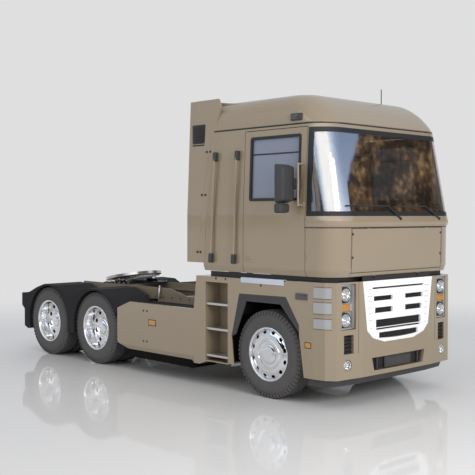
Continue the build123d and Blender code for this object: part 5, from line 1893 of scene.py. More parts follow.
    @staticmethod
    def _mesh() -> None:
        """Lays the dark wire mesh behind shield and intake."""
        mesh = bmesh.new()
        x = FRONT_AXLE_X + 1.0685
        for i in range(27):
            y = -0.52 + i * 0.04
            add_block(mesh, (x - 0.002, y - 0.003, 0.775), (x + 0.003, y + 0.003, 1.420))
        for j in range(26):
            z = 0.785 + j * 0.025
            add_block(mesh, (x - 0.003, -0.53, z - 0.003), (x + 0.002, 0.53, z + 0.003))
        x = FRONT_AXLE_X + 1.062
        for j in range(6):
            z = 0.415 + j * 0.026
            half = 0.50 + (z - 0.40) * 0.28
            add_block(mesh, (x - 0.003, -half, z - 0.004), (x + 0.004, half, z + 0.004))
        for i in range(24):
            y = -0.483 + i * 0.042
            add_block(mesh, (x - 0.002, y - 0.003, 0.402), (x + 0.003, y + 0.003, 0.556))
        publish("front_wire_mesh", mesh, GASKET_AND_SHADE, "chassis")

    @staticmethod
    def _bumper() -> None:
        """Adds the intake's inner bars, the lip and the seams of the bumper."""
        publish_blocks("intake_bars", MOULDED, "chassis",
                       ((1.064, -0.270, 0.408, 1.084, 0.270, 0.548, 0.004),
                        (1.082, -0.250, 0.424, 1.088, 0.250, 0.532, 0.002),
                        (1.064, -0.430, 0.402, 1.086, -0.410, 0.556, 0.003),
                        (1.064, 0.410, 0.402, 1.086, 0.430, 0.556, 0.003)))
        mesh = bmesh.new()
        plan = ((0.700, 1.200), (0.880, 1.180), (0.985, 1.100), (1.030, 0.720), (1.040, 0.0))
        made = bmesh.ops.create_grid(mesh, x_segments=32, y_segments=4, size=0.5)["verts"]
        for vert in made:
            u = abs(vert.co.x) * 2
            far = (1 - u) * (len(plan) - 1)
            i = min(int(far), len(plan) - 2)
            t = far - i
            px = plan[i][0] + t * (plan[i + 1][0] - plan[i][0])
            py = plan[i][1] + t * (plan[i + 1][1] - plan[i][1])
            v = vert.co.y + 0.5
            vert.co = Vector((FRONT_AXLE_X + px - 0.05 * (1 - v), math.copysign(py, vert.co.x), 0.255 + v * 0.110))
        bmesh.ops.recalc_face_normals(mesh, faces=mesh.faces)
        bmesh.ops.solidify(mesh, geom=mesh.faces, thickness=0.012)
        publish("bumper_lip", mesh, MOULDED, "chassis", smooth=40.0)
        mesh = bmesh.new()
        for side in Side:
            run = MODULE.run_at(0.790)
            add_panel(mesh, side, (run - 0.0025, run + 0.0025), 0.640, 1.490, 0.0008, 0.003, 0.0, 1)
        publish("bumper_seams", mesh, GASKET_AND_SHADE, "chassis")


@dataclass
class Wiper:
    """One wiper: its spindle, its arm and its blade.

    Attributes:
        spindle: Place across the truck, and height, of its spindle.
        elbow: Place and height where the arm meets the blade.
        tip: Place and height of the blade's far end.
    """

    spindle: tuple[float, float]
    elbow: tuple[float, float]
    tip: tuple[float, float]

    def add_to(self, mesh: bmesh.types.BMesh) -> None:
        """Adds the wiper to a mesh.

        Args:
            mesh: Where it goes.
        """
        base = self._place(self.spindle, 0.006)
        add_tube(mesh, tuple(base), tuple(base + Vector((0.020, 0.0, 0.004))), 0.022, 20, 0.018)
        self._run(mesh, self.spindle, self.elbow, 0.013, 0.0105, 4, 0.018)
        self._run(mesh, self.elbow, self.tip, 0.0075, 0.0075, 14, 0.014)
        self._run(mesh, self.elbow, (self.tip[0] * 0.6 + self.elbow[0] * 0.4, self.tip[1] + 0.004), 0.007, 0.005, 8,
                  0.026)

    @staticmethod
    def _place(spot: tuple[float, float], lift: float) -> Vector:
        """Point over the cab's front.

        Args:
            spot: Place across the truck, and height.
            lift: Distance off the skin.

        Returns:
            The point.
        """
        return SKIN.point(SKIN.reach(Station(Axis.Y, spot[0]), spot[1]), spot[1], lift)

    def _run(self, mesh: bmesh.types.BMesh, start: tuple[float, float], end: tuple[float, float], thick: float,
             last: float, parts: int, lift: float) -> None:
        """Adds a rod that follows the curve of the glass.

        Args:
            mesh: Where it goes.
            start: Where it starts.
            end: Where it ends.
            thick: Radius at its start.
            last: Radius at its end.
            parts: Number of short lengths.
            lift: Distance off the skin.
        """
        spots = [(start[0] + (end[0] - start[0]) * i / parts, start[1] + (end[1] - start[1]) * i / parts)
                 for i in range(parts + 1)]
        for i in range(parts):
            here = thick + (last - thick) * i / parts
            then = thick + (last - thick) * (i + 1) / parts
            add_tube(mesh, tuple(self._place(spots[i], lift)), tuple(self._place(spots[i + 1], lift)), here, 8, then)


def build_wipers() -> None:
    """Makes both wipers in place of the plain ones."""
    mesh = bmesh.new()
    for place, elbow, tip in ((0.000, -0.235, -1.015), (0.840, 0.556, -0.100)):
        Wiper((place, 2.236), (elbow, 2.392), (tip, 2.392)).add_to(mesh)
    publish("screen_wipers", mesh, GASKET_AND_SHADE, "cab", ("wipers",), 40.0)


@dataclass
class Underbody:
    """Dark parts seen through the arches, and the panel, screws and step edge beside them.

    Attributes:
        arch: Side view of the arch's roof, from front to rear, measured from the front axle.
        inner: Distance of its inner wall from the middle plane.
    """

    arch: tuple[tuple[float, float], ...] = ((0.545, 0.900), (0.247, 1.205), (-0.346, 1.205), (-0.430, 1.015))
    inner: float = 0.50

    def build(self) -> None:
        """Makes the liners, the corner panels, the screws of the skirts and the pale step edges."""
        for side in Side:
            self._liner(side)
            self._corner_panel(side)
            self._skirt_screws(side)
            self._step_edge(side)

    def _liner(self, side: Side) -> None:
        """Makes the black liner of one front arch.

        Args:
            side: The truck's side.
        """
        mesh = bmesh.new()
        outer = side.value * 1.236
        verts = [mesh.verts.new((FRONT_AXLE_X + x, outer, z)) for x, z in self.arch]
        edges = [mesh.edges.new(pair) for pair in zip(verts, verts[1:])]
        draw_out(mesh, bmesh.ops.extrude_edge_only(mesh, edges=edges), side.value * self.inner - outer)
        bmesh.ops.recalc_face_normals(mesh, faces=mesh.faces)
        bmesh.ops.solidify(mesh, geom=mesh.faces, thickness=0.006)
        near, far = side.value * 0.80, side.value * 1.232
        add_blocks(mesh, (
            (-0.60, side.value * self.inner, 0.800, 0.60, side.value * (self.inner + 0.008), 1.205, 0.0),
            (-0.668, near, 0.370, -0.655, far, 1.270, 0.0), (-0.660, near, 1.205, -0.340, far, 1.215, 0.0)))
        publish(f"arch_liner_{side.word}", mesh, LINER_AND_SHADE, "chassis")

    @staticmethod
    def _corner_panel(side: Side) -> None:
        """Adds the painted panel between the step panel and the front module.

        Args:
            side: The truck's side.
        """
        mesh = bmesh.new()
        add_plate(mesh, ((0.334, 1.487), (0.334, 1.291), (0.534, 0.996), (0.534, 1.487)), side.value * 1.2380,
                  side.value * 0.0112)
        publish(f"corner_panel_{side.word}", mesh, PAINT, "chassis")

    @staticmethod
    def _skirt_screws(side: Side) -> None:
        """Adds the dark screws in skirt, step panel and arch.

        Args:
            side: The truck's side.
        """
        mesh = bmesh.new()
        for x, z in ((-2.463, 0.911), (-2.380, 0.911), (-2.460, 0.474), (-2.382, 0.474), (-0.916, 1.452),
                     (-0.733, 1.452), (-0.085, 1.406)):
            add_tube(mesh, (FRONT_AXLE_X + x, side.value * 1.247, z), (FRONT_AXLE_X + x, side.value * 1.2535, z),
                     0.017, 12, 0.014)
        publish(f"skirt_screws_{side.word}", mesh, GASKET_AND_SHADE, "chassis")

    @staticmethod
    def _step_edge(side: Side) -> None:
        """Adds the pale tread edge over the arch.

        Args:
            side: The truck's side.
        """
        sign = side.value
        publish_blocks(f"step_edge_{side.word}", PALE_TREAD, "chassis",
                       ((-0.445, sign * 1.190, 1.4745, 0.306, sign * 1.2535, 1.492, 0.004),
                        (-0.445, sign * 1.249, 1.424, 0.306, sign * 1.2545, 1.484, 0.002)), 40.0)


@dataclass
class Cushion:
    """A padded piece that is blown up by a cloth simulation.

    Attributes:
        name: The piece's name.
        blocks: Low corner, high corner and edge radius of each block that it starts from.
        voxel: Size of its starting mesh.
        cap: Furthest that a point may move.
        channels: Sewn channels, as an axis (0 to 2), a place along it and a depth.
        lean: Degrees that it is turned about the Y axis.
        pivot: Point that it is turned about.
        pressure: Pressure that blows it up.
        frames: Frames that the simulation runs for.
        seam: Half width of a sewn channel.
    """

    name: str
    blocks: tuple[tuple[Point, Point, float], ...]
    voxel: float = 0.006
    cap: float = 0.024
    channels: tuple[tuple[int, float, float], ...] = ()
    lean: float = 0.0
    pivot: Point = (0.0, 0.0, 0.0)
    pressure: float = 4.0
    frames: int = 20
    seam: float = 0.009

    def shape(self) -> bpy.types.Mesh:
        """Builds the cushion.

        Returns:
            Its mesh.
        """
        mesh = bmesh.new()
        for low, high, edge in self.blocks:
            add_block(mesh, low, high, edge=edge)
        data = bpy.data.meshes.new(self.name)
        mesh.to_mesh(data)
        mesh.free()
        work = bpy.data.objects.new(self.name + "_work", data)
        bpy.context.scene.collection.objects.link(work)
        remesh = work.modifiers.new("voxels", "REMESH")
        remesh.mode = "VOXEL"
        remesh.voxel_size = self.voxel
        data = bpy.data.meshes.new_from_object(work.evaluated_get(bpy.context.evaluated_depsgraph_get()))
        work.modifiers.clear()
        work.data = data
        self._inflate(work)
        self._sew(data)
        bpy.data.objects.remove(work)
        turn = (Matrix.Translation(self.pivot) @ Matrix.Rotation(math.radians(self.lean), 4, "Y")
                @ Matrix.Translation(-Vector(self.pivot)))
        data.transform(turn)
        return data

    def _inflate(self, work: bpy.types.Object) -> None:
        """Runs the cloth simulation and keeps what it gives.

        Args:
            work: The object that is blown up.
        """
        cloth = work.modifiers.new("cloth", "CLOTH")
        cloth.settings.use_pressure = True
        cloth.settings.uniform_pressure_force = self.pressure
        cloth.settings.effector_weights.gravity = 0.0
        cloth.settings.quality = 4
        cloth.point_cache.frame_end = self.frames
        scene = bpy.context.scene
        for step in range(1, self.frames + 1):
            scene.frame_set(step)
        blown = work.evaluated_get(bpy.context.evaluated_depsgraph_get()).data
        moves = [(Vector(new.co), old) for new, old in zip(blown.vertices, work.data.vertices)]
        for place, vert in moves:
            move = place - vert.co
            if move.length > self.cap:
                move *= self.cap / move.length
            vert.co += move
        work.modifiers.remove(cloth)
        scene.frame_set(1)

    def _sew(self, data: bpy.types.Mesh) -> None:
        """Pulls the sewn channels in.

        Args:
            data: The cushion's mesh.
        """
        mesh = bmesh.new()
        mesh.from_mesh(data)
        mesh.normal_update()
        for vert in mesh.verts:
            pull = 0.0
            for axis, place, depth in self.channels:
                off = (vert.co[axis] - place) / self.seam
                pull = max(pull, depth * math.exp(-off * off))
            vert.co -= vert.normal * pull
        bmesh.ops.smooth_vert(mesh, verts=mesh.verts, factor=0.5, use_axis_x=True, use_axis_y=True, use_axis_z=True)
        mesh.to_mesh(data)
        mesh.free()

    def publish(self, data: bpy.types.Mesh, name: str, finish: Surface, replaces: tuple[str, ...] = (),
                shift: Point = (0.0, 0.0, 0.0), fill: float = 0.6) -> None:
        """Places one cushion of this shape in the cab.

        Args:
            data: The shape.
            name: The piece's name.
            finish: Its cloth.
            replaces: Nodes that it stands for.
            shift: How far it is moved.
            fill: How tight it is; not used.
        """
        own = data.copy()
        own.transform(Matrix.Translation(shift))
        own.materials.clear()
        own.materials.append(finish.material())
        for face in own.polygons:
            face.use_smooth = True
        piece = bpy.data.objects.new(name, own)
        own.name = name
        bpy.context.scene.collection.objects.link(piece)
        soft = piece.modifiers.new("smooth", "SUBSURF")
        soft.levels = 1 if self.voxel > 0.008 else 0
        soft.render_levels = soft.levels
        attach(piece, "cab")
        if replaces:
            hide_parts(*replaces)
        LOG.info("cushion %s", name)


@dataclass
class Interior:
    """Seats, bunk, steering wheel and dashboard dress.

    Attributes:
        seat_y: Distance of a seat's middle from the cab's middle.
        wheel_centre: Centre of the steering wheel.
        wheel_radius: Radius of its rim.
        wheel_tilt: Degrees that it leans.
    """

    seat_y: float = 0.620
    wheel_centre: Point = (FRONT_AXLE_X + 0.390, 0.620, 2.290)
    wheel_radius: float = 0.212
    wheel_tilt: float = -35.0

    def build(self) -> None:
        """Makes everything inside the cab."""
        self._seats()
        self._bunk()
        self._wheel()
        self._dash()

    def _seats(self) -> None:
        """Makes both seats from one simulated shape."""
        x = FRONT_AXLE_X
        base = Cushion("seat_pad", (
            ((x - 0.300, -0.165, 1.925), (x + 0.112, 0.165, 2.005), 0.030),
            ((x - 0.300, -0.222, 1.925), (x + 0.105, -0.140, 2.020), 0.034),
            ((x - 0.300, 0.140, 1.925), (x + 0.105, 0.222, 2.020), 0.034)), 0.008, 0.018,
            ((0, x - 0.190, 0.007), (0, x - 0.080, 0.007), (0, x + 0.030, 0.007), (1, -0.150, 0.009),
             (1, 0.150, 0.009)))
        back = Cushion("seat_back", (
            ((x - 0.300, -0.155, 2.010), (x - 0.225, 0.155, 2.560), 0.030),
            ((x - 0.300, -0.212, 2.010), (x - 0.205, -0.135, 2.470), 0.034),
            ((x - 0.300, 0.135, 2.010), (x - 0.205, 0.212, 2.470), 0.034),
            ((x - 0.296, -0.105, 2.500), (x - 0.222, 0.105, 2.725), 0.034)), 0.008, 0.018,
            ((2, 2.130, 0.007), (2, 2.240, 0.007), (2, 2.350, 0.007), (2, 2.500, 0.010), (1, -0.146, 0.009),
             (1, 0.146, 0.009)), -8.0, (x - 0.270, 0.0, 1.990))
        pads = (base.shape(), back.shape())
        for side in Side:
            shift = (0.0, side.value * self.seat_y, 0.0)
            base.publish(pads[0], f"seat_pad_{side.word}", CLOTH, ("seats",) if side is Side.RIGHT else (), shift)
            back.publish(pads[1], f"seat_back_{side.word}", CLOTH, (), shift)
            self._pedestal(side)

    def _pedestal(self, side: Side) -> None:
        """Makes one seat's sprung pedestal, its shell and its armrest.

        Args:
            side: The truck's side.
        """
        mesh = bmesh.new()
        x = FRONT_AXLE_X
        y = side.value * self.seat_y
        add_block(mesh, (x - 0.255, y - 0.180, 1.612), (x + 0.055, y + 0.180, 1.650), edge=0.008)
        for i in range(4):
            z = 1.655 + i * 0.050
            add_block(mesh, (x - 0.235, y - 0.160, z), (x + 0.035, y + 0.160, z + 0.044), edge=0.018)
        add_block(mesh, (x - 0.325, y - 0.225, 1.862), (x + 0.115, y + 0.225, 1.922), edge=0.020)
        turn = Matrix.Translation((x - 0.346, y, 2.300)) @ Matrix.Rotation(math.radians(-8), 4, "Y")
        add_block(mesh, (-0.018, -0.190, -0.320), (0.012, 0.190, 0.380), turn, 0.012)
        for sign in (-1, 1):
            turn = Matrix.Translation((x - 0.130, y + sign * 0.228, 2.200)) @ Matrix.Rotation(math.radians(3), 4, "Y")
            add_block(mesh, (-0.170, -0.020, -0.020), (0.140, 0.020, 0.020), turn, 0.012)
        publish(f"seat_pedestal_{side.word}", mesh, TRIM, "cab", smooth=50.0)

    @staticmethod
    def _bunk() -> None:
        """Makes the bunk: its trunk and a sewn mattress."""
        x = FRONT_AXLE_X
        mattress = Cushion("bunk_mattress", (
            ((x - 1.125, -1.030, 1.985), (x - 0.635, 1.030, 2.058), 0.028),), 0.014, 0.016,
            tuple((1, -0.900 + i * 0.300, 0.007) for i in range(7)) + ((0, x - 0.880, 0.006),))
        mattress.publish(mattress.shape(), "bunk_mattress", CLOTH, ("bunk",), fill=0.5)
        rows = [(-1.138, -1.045, 1.612, -0.625, 1.045, 1.972, 0.012)]
        for y in (-0.70, 0.0, 0.70):
            rows += [(-0.630, y - 0.310, 1.660, -0.620, y + 0.310, 1.930, 0.004),
                     (-0.624, y - 0.050, 1.880, -0.612, y + 0.050, 1.900, 0.003)]
        publish_blocks("bunk_trunk", TRIM, "cab", rows, 45.0)
        pillow = Cushion("bunk_pillow", (
            ((x - 1.080, 0.660, 2.092), (x - 0.690, 0.980, 2.130), 0.016),), 0.010, 0.024)
        pillow.publish(pillow.shape(), "bunk_pillow", PILLOW, (), fill=0.5)

    def _wheel(self) -> None:
        """Makes the steering wheel and its column."""
        place = Matrix.Translation(self.wheel_centre) @ Matrix.Rotation(math.radians(self.wheel_tilt), 4, "Y")
        mesh = bmesh.new()
        ring = bmesh.ops.create_circle(mesh, segments=12, radius=0.016,
                                       matrix=Matrix.Translation((self.wheel_radius, 0.0, 0.0))
                                       @ Matrix.Rotation(math.radians(90), 4, "X"))["verts"]
        loop = [edge for edge in mesh.edges if all(vert in ring for vert in edge.verts)]
        bmesh.ops.spin(mesh, geom=loop, cent=(0.0, 0.0, 0.0), axis=(0.0, 0.0, 1.0), angle=2 * math.pi, steps=56,
                       use_merge=True)
        add_block(mesh, (-0.070, -0.075, -0.045), (0.062, 0.075, -0.005), edge=0.018)
        for bearing in (35, 145, 215, 325):
            turn = Matrix.Rotation(math.radians(bearing), 4, "Z")
            add_block(mesh, (0.050, -0.014, -0.030), (self.wheel_radius - 0.006, 0.014, -0.012), turn, 0.005)
        bmesh.ops.remove_doubles(mesh, verts=mesh.verts, dist=0.0001)
        bmesh.ops.recalc_face_normals(mesh, faces=mesh.faces)
        bmesh.ops.transform(mesh, matrix=place, verts=mesh.verts)
        publish("steering_rim", mesh, TRIM, "cab", ("steering_wheel",), 45.0)
        mesh = bmesh.new()
        foot = place @ Vector((0.0, 0.0, -0.165))
        neck = place @ Vector((0.0, 0.0, -0.040))
        add_tube(mesh, tuple(foot), tuple(neck), 0.045, 20, 0.032)
        for sign in (-1, 1):
            start = place @ Vector((0.0, sign * 0.03, -0.070))
            end = place @ Vector((-0.030, sign * 0.170, -0.062))
            add_tube(mesh, tuple(start), tuple(end), 0.010, 10, 0.013)
        publish("steering_column", mesh, TRIM, "cab", smooth=50.0)

    @staticmethod
    def _dash() -> None:
        """Dresses the dashboard with its hood, vents, screen and switches."""
        publish_blocks("dash_hood", TRIM, "cab", ((0.480, 0.360, 2.285, 0.720, 0.880, 2.375, 0.035),
                                                  (0.500, -0.880, 2.282, 0.960, 0.300, 2.300, 0.008)), 50.0)
        rows = [(0.474, 0.400, 2.296, 0.482, 0.840, 2.358, 0.003)]
        rows += [(0.440, y - 0.055, 2.190 + i * 0.016, 0.451, y + 0.055, 2.196 + i * 0.016, 0.0)
                 for y in (-0.780, -0.620, 0.120, 0.250) for i in range(5)]
        rows += [(0.440, -0.440 + i * 0.055, z, 0.451, -0.400 + i * 0.055, z + 0.040, 0.003)
                 for z in (2.110, 2.170) for i in range(8)]
        publish_blocks("dash_switches", GASKET_AND_SHADE, "cab", rows, 45.0)


@dataclass
class Coupling:
    """Working parts of the fifth wheel, and the fittings on the frame round it.

    Attributes:
        pivot: Axis of the plate's pitch.
        tilt: Degrees that the plate rests at.
        centre: Distance of the kingpin's seat behind the pivot.
        drop: Height of the plate's top over the pivot.
    """

    pivot: Point = (FRONT_AXLE_X - 4.260, 0.0, 1.220)
    tilt: float = -10.5
    centre: float = 0.060
    drop: float = 0.070

    def build(self) -> None:
        """Makes the plate's working parts, then the fittings on the frame and on the cab's back."""
        place = Matrix.Translation(self.pivot) @ Matrix.Rotation(math.radians(self.tilt), 4, "Y")
        self._jaws(place)
        self._frame()
        self._air()
        self._back()

    def _jaws(self, place: Matrix) -> None:
        """Makes what moves with the plate.

        Args:
            place: The plate's placing.
        """
        mesh = bmesh.new()
        ring = spin_profile(mesh, [(0.0, 0.052), (0.010, 0.052), (0.012, 0.060), (0.012, 0.092), (0.008, 0.098),
                                   (0.0, 0.098)], (0.0, 0.0, 0.0), Side.LEFT, 40)
        verts = list({vert for face in ring for vert in face.verts})
        lay = Matrix.Translation((-self.centre, 0.0, self.drop - 0.006)) @ Matrix.Rotation(math.radians(90), 4, "X")
        bmesh.ops.transform(mesh, matrix=lay, verts=verts)
        for sign in (-1, 1):
            turn = Matrix.Translation((-0.300, sign * 0.190, self.drop - 0.004)) @ Matrix.Rotation(
                math.radians(sign * 33.0), 4, "Z")
            add_block(mesh, (-0.180, -0.022, -0.020), (0.150, 0.022, 0.008), turn, 0.006)
        add_tube(mesh, (-0.020, -0.200, 0.012), (-0.020, -0.560, 0.012), 0.011, 12)
        add_tube(mesh, (-0.020, -0.560, 0.012), (0.060, -0.590, 0.012), 0.011, 12)
        for sign in (-1, 1):
            add_block(mesh, (-0.060, sign * 0.330 - 0.052, -0.032), (0.060, sign * 0.330 + 0.052, 0.030), edge=0.012)
        for i in range(5):
            x = -0.200 + i * 0.110
            add_block(mesh, (x - 0.010, -0.300, 0.004), (x + 0.010, 0.300, 0.030), edge=0.003)
        bmesh.ops.transform(mesh, matrix=place, verts=mesh.verts)
        bmesh.ops.recalc_face_normals(mesh, faces=mesh.faces)
        publish("coupling_jaws", mesh, STEEL, "fifth_wheel", smooth=45.0)

    @staticmethod
    def _frame() -> None:
        """Adds the frame's bolts, the near-black blocks under the truck that are partly underbody parts and partly
        painted shade, and the air springs.
        """
        mesh = bmesh.new()
        x = FRONT_AXLE_X
        for sign in (-1, 1):
            for i in range(26):
                at = x - 5.600 + i * 0.200
                for z in (0.860, 1.020):
                    add_tube(mesh, (at, sign * 0.428, z), (at, sign * 0.444, z), 0.012, 6)
            for i in range(6):
                at = x - 4.560 + i * 0.120
                add_tube(mesh, (at, sign * 0.395, 1.170), (at, sign * 0.395, 1.188), 0.014, 6)
        publish("frame_bolts", mesh, STEEL, "chassis")
        # Near-black block under the cab: partly underbody parts, partly painted shade under the truck.
        publish_blocks("underbody_block_and_shade", LINER_AND_SHADE, "chassis", ((-1.300, -0.520, 0.270, -0.620, 0.520, 0.600, 0.040),), 40.0)
        # Near-black blocks under the skirts: partly the tanks' undersides, partly painted shade there.
        publish_blocks("tank_undersides_and_shade", LINER_AND_SHADE, "chassis",
                       ((-2.960, side.value * 0.780, 0.205, -1.400, side.value * 1.225, 0.440, 0.030) for side in Side),
                       40.0)
        mesh = bmesh.new()
        for sign in (-1, 1):
            for axle in (x - 3.680, x - 5.000):
                for at in (axle - 0.330, axle + 0.330):
                    for i in range(4):
                        z = 0.640 + i * 0.050
                        add_tube(mesh, (at, sign * 0.560, z), (at, sign * 0.560, z + 0.048), 0.078, 20, 0.094)
        publish("air_springs", mesh, RUBBER, "chassis", smooth=40.0)

    @staticmethod
    def _back() -> None:
        """Dresses the cab's back wall, the tail lamps and the plate holder."""
        rows = [(-1.2075, -0.855 + i * 0.270, 1.760, -1.1985, -0.765 + i * 0.270, 3.180, 0.004) for i in range(7)]
        rows += [(-1.2085, -1.020, z - 0.020, -1.1985, 1.020, z + 0.020, 0.004) for z in (1.640, 3.270)]
        publish_blocks("cab_back_ribs", PAINT, "cab", rows, 40.0)
        publish_blocks("lamp_segments", RED, "chassis",
                       ((-5.8095, side.value * (0.840 + i * 0.070), 0.800, -5.796, side.value * (0.902 + i * 0.070),
                         0.888, 0.005) for side in Side for i in range(5)), 40.0)
        publish_blocks("lamp_ambers", AMBER, "chassis",
                       ((-5.806, side.value * 0.700, 0.800, -5.790, side.value * 0.820, 0.888, 0.005)
                        for side in Side), 40.0)
        publish_blocks("rear_plate", SATIN_AND_SHADE, "chassis", ((-5.722, -0.280, 0.850, -5.712, 0.280, 0.980, 0.003),))

    @staticmethod
    def _air() -> None:
        """Adds the dampers, and behind the cab the bracket, the couplings and the coiled air lines."""
        mesh = bmesh.new()
        x = FRONT_AXLE_X
        for sign in (-1, 1):
            add_tube(mesh, (x - 3.080, sign * 0.450, 1.010), (x - 3.080, sign * 0.450, 1.150), 0.034, 20)
            add_tube(mesh, (x - 3.080, sign * 0.450, 1.150), (x - 3.080, sign * 0.450, 1.195), 0.018, 16)
        for i, y in enumerate((-0.270, -0.090, 0.090, 0.270)):
            add_tube(mesh, (x - 1.500, y, 1.200), (x - 1.560, y, 1.200), 0.028, 16)
            add_block(mesh, (x - 1.580, y - 0.030, 1.186), (x - 1.556, y + 0.030, 1.240), edge=0.008)
            add_tube(mesh, (x - 3.300 - 0.12 * i, -0.380, 1.075), (x - 3.300 - 0.12 * i, -0.380, 1.150), 0.022, 12,
                     0.016)
        publish("bright_fittings", mesh, CHROME, "chassis", smooth=45.0)
        publish_blocks("coupling_bracket", BLACK, "chassis",
                       ((-1.500, -0.400, 1.060, -1.484, 0.400, 1.270, 0.006),
                        (-1.500, -0.350, 0.960, -1.470, -0.310, 1.080, 0.004),
                        (-1.500, 0.310, 0.960, -1.470, 0.350, 1.080, 0.004)))
        coil, pitch, steps = 0.045, 0.010, 14
        for name, finish, root in (("air_line_red", RED, -0.270), ("air_line_black", GASKET_AND_SHADE, -0.090)):
            mesh = bmesh.new()
            turns = [i * math.pi / 4 for i in range(steps + 1)]
            spots = [(x - 1.620 + coil * math.cos(turn), root + pitch * i, 1.150 + coil * math.sin(turn))
                     for i, turn in enumerate(turns)]
            for start, end in zip(spots, spots[1:]):
                add_tube(mesh, start, end, 0.007, 8)
            publish(name, mesh, finish, "chassis", smooth=60.0)


# ---------------------------------------------------------------- carried nodes
NODE_FINISHES: dict[str, Surface] = {
    "frame_rails": FRAME_PAINT, "tail_member": FRAME_PAINT, "engine_block": CASTING, "gearbox": CASTING,
    "front_axle": BLACK, "rear_axles": BLACK, "rear_suspension": BLACK, "front_module": PAINT,
    "grille_panel": SHIELD, "grille_mesh": GASKET_AND_SHADE, "lamp_housings": CHROME, "lamp_lenses": LENS,
    "front_arches": MOULDED, "step_boxes": PAINT, "step_treads": TREAD_PLATE, "side_skirts": PAINT,
    "side_tanks": BLACK, "rear_deck": FENDER, "rear_fenders": FENDER, "tail_lamps": RED, "air_tanks": BLACK,
    "fifth_wheel_base": BLACK, "fifth_wheel_plate": STEEL, "cab_supports": BLACK, "cab_shell": PAINT,
    "cab_front_flap": PAINT, "windscreen": SCREEN, "cab_roof": PAINT, "wind_deflectors": PAINT,
    "grab_rails": PAINT, "wipers": MOULDED, "dashboard": TRIM, "steering_wheel": TRIM, "seats": CLOTH,
    "bunk": CLOTH, "antenna": BLACK,
}
for _side in Side:
    NODE_FINISHES.update({
        f"door_{_side.word}": PAINT, f"door_glass_{_side.word}": PANE, f"mirrors_{_side.word}": MOULDED,
        f"knuckle_{_side.word}": CASTING, f"front_tyre_{_side.word}": RUBBER, f"front_rim_{_side.word}": CHROME,
        f"middle_tyres_{_side.word}": RUBBER, f"middle_rims_{_side.word}": CHROME,
        f"rear_tyres_{_side.word}": RUBBER, f"rear_rims_{_side.word}": CHROME,
    })


def dress_nodes() -> None:
    """Gives every carried node its finish."""
    for name, finish in NODE_FINISHES.items():
        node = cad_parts[name]
        node.data.materials.clear()
        node.data.materials.append(finish.material())
        LOG.info("node %s dressed in %s", name, finish.name)


